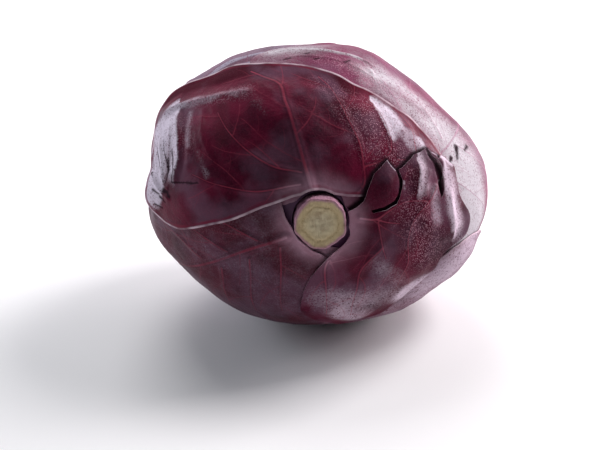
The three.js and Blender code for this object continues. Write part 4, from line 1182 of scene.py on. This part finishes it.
# Each leaf's colours: the dark and the warm skin, the veins, and the bloom, whose pale colour also paints
# the highlights.
LEAF_FINISHES = {
    "leaf_crown": ((0.045, 0.006, 0.022), (0.095, 0.012, 0.042), (0.20, 0.04, 0.09), (0.26, 0.20, 0.26)),
    "leaf_back_left": ((0.06, 0.010, 0.032), (0.13, 0.024, 0.065), (0.20, 0.04, 0.09), (0.36, 0.33, 0.41)),
    "leaf_back_right": ((0.08, 0.009, 0.034), (0.18, 0.024, 0.076), (0.32, 0.13, 0.21), (0.52, 0.49, 0.53)),
    "leaf_underside": ((0.06, 0.012, 0.026), (0.12, 0.020, 0.046), (0.16, 0.02, 0.04), (0.60, 0.48, 0.58)),
    "leaf_left": ((0.045, 0.007, 0.016), (0.090, 0.011, 0.026), (0.20, 0.025, 0.05), (0.38, 0.34, 0.42)),
    "leaf_front_top": ((0.034, 0.004, 0.014), (0.140, 0.006, 0.030), (0.30, 0.038, 0.070),
                       (0.68, 0.60, 0.70)),
    "leaf_front_right": ((0.033, 0.004, 0.013), (0.105, 0.006, 0.026), (0.26, 0.036, 0.065),
                         (0.66, 0.54, 0.64)),
}
for order, leaf in enumerate(LEAVES):
    finish = leaf_material(leaf["name"] + "_skin", *LEAF_FINISHES[leaf["name"]], *leaf["margin"],
                           0.37 * leaf["seed"])
    blade = leaf_mesh(leaf, order, finish)
    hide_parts(leaf["name"])

# ---- Table and light ----
# A wide pale table. Soft lamps hang above, behind and to the right, with a cooler one to the
# left. The side towards the camera is left dim, so that the front of the head stays dark.
TABLE_HALF = 3.0
table = bpy.data.objects.new("table", bpy.data.meshes.new("table"))
corners = [(x * TABLE_HALF, y * TABLE_HALF, 0) for x, y in ((-1, -1), (1, -1), (1, 1), (-1, 1))]
table.data.from_pydata(corners, [], [(0, 1, 2, 3)])
scene.collection.objects.link(table)
table_top, table_shader, place = new_material("table_top")
join(table_shader, Base_Color=place.noise(0.5, 2).mix((0.86, 0.86, 0.87), (0.90, 0.90, 0.90)))
table_shader.inputs["Roughness"].default_value = 0.7
table.data.materials.append(table_top)


def lamp(name, place, aim, size, watts, colour):
    """A soft rectangular lamp at a place, aimed at another."""
    light = bpy.data.lights.new(name, "AREA")
    light.shape, light.size, light.size_y = "RECTANGLE", *size
    light.energy, light.color = watts, colour
    holder = bpy.data.objects.new(name, light)
    holder.location = place
    holder.rotation_euler = (Vector(aim) - Vector(place)).to_track_quat("-Z", "Y").to_euler()
    scene.collection.objects.link(holder)


lamp("top_back", (-0.2, 0.85, 1.25), (0, 0, 0.07), (0.8, 0.8), 11, (1.0, 0.98, 0.99))
lamp("right_high", (0.81, 0.36, 0.98), (0, 0, 0.07), (0.55, 0.55), 14, (1.0, 0.96, 0.97))
lamp("right_low", (1.1, 0.62, 0.30), (0, 0, 0.08), (0.8, 0.5), 19, (1.0, 0.93, 0.96))
lamp("back", (0.1, 1.6, 0.5), (0, 0, 0.08), (2.2, 0.7), 8, (0.98, 0.96, 1.0))
lamp("left", (-1.2, 0.55, 0.42), (0, 0, 0.08), (0.9, 0.7), 11, (0.86, 0.92, 1.0))
world = bpy.data.worlds.new("studio")
world.use_nodes = True
world.node_tree.nodes["Background"].inputs["Color"].default_value = (0.92, 0.94, 1.0, 1)
world.node_tree.nodes["Background"].inputs["Strength"].default_value = 0.10
scene.world = world
scene.view_settings.view_transform = "Standard"
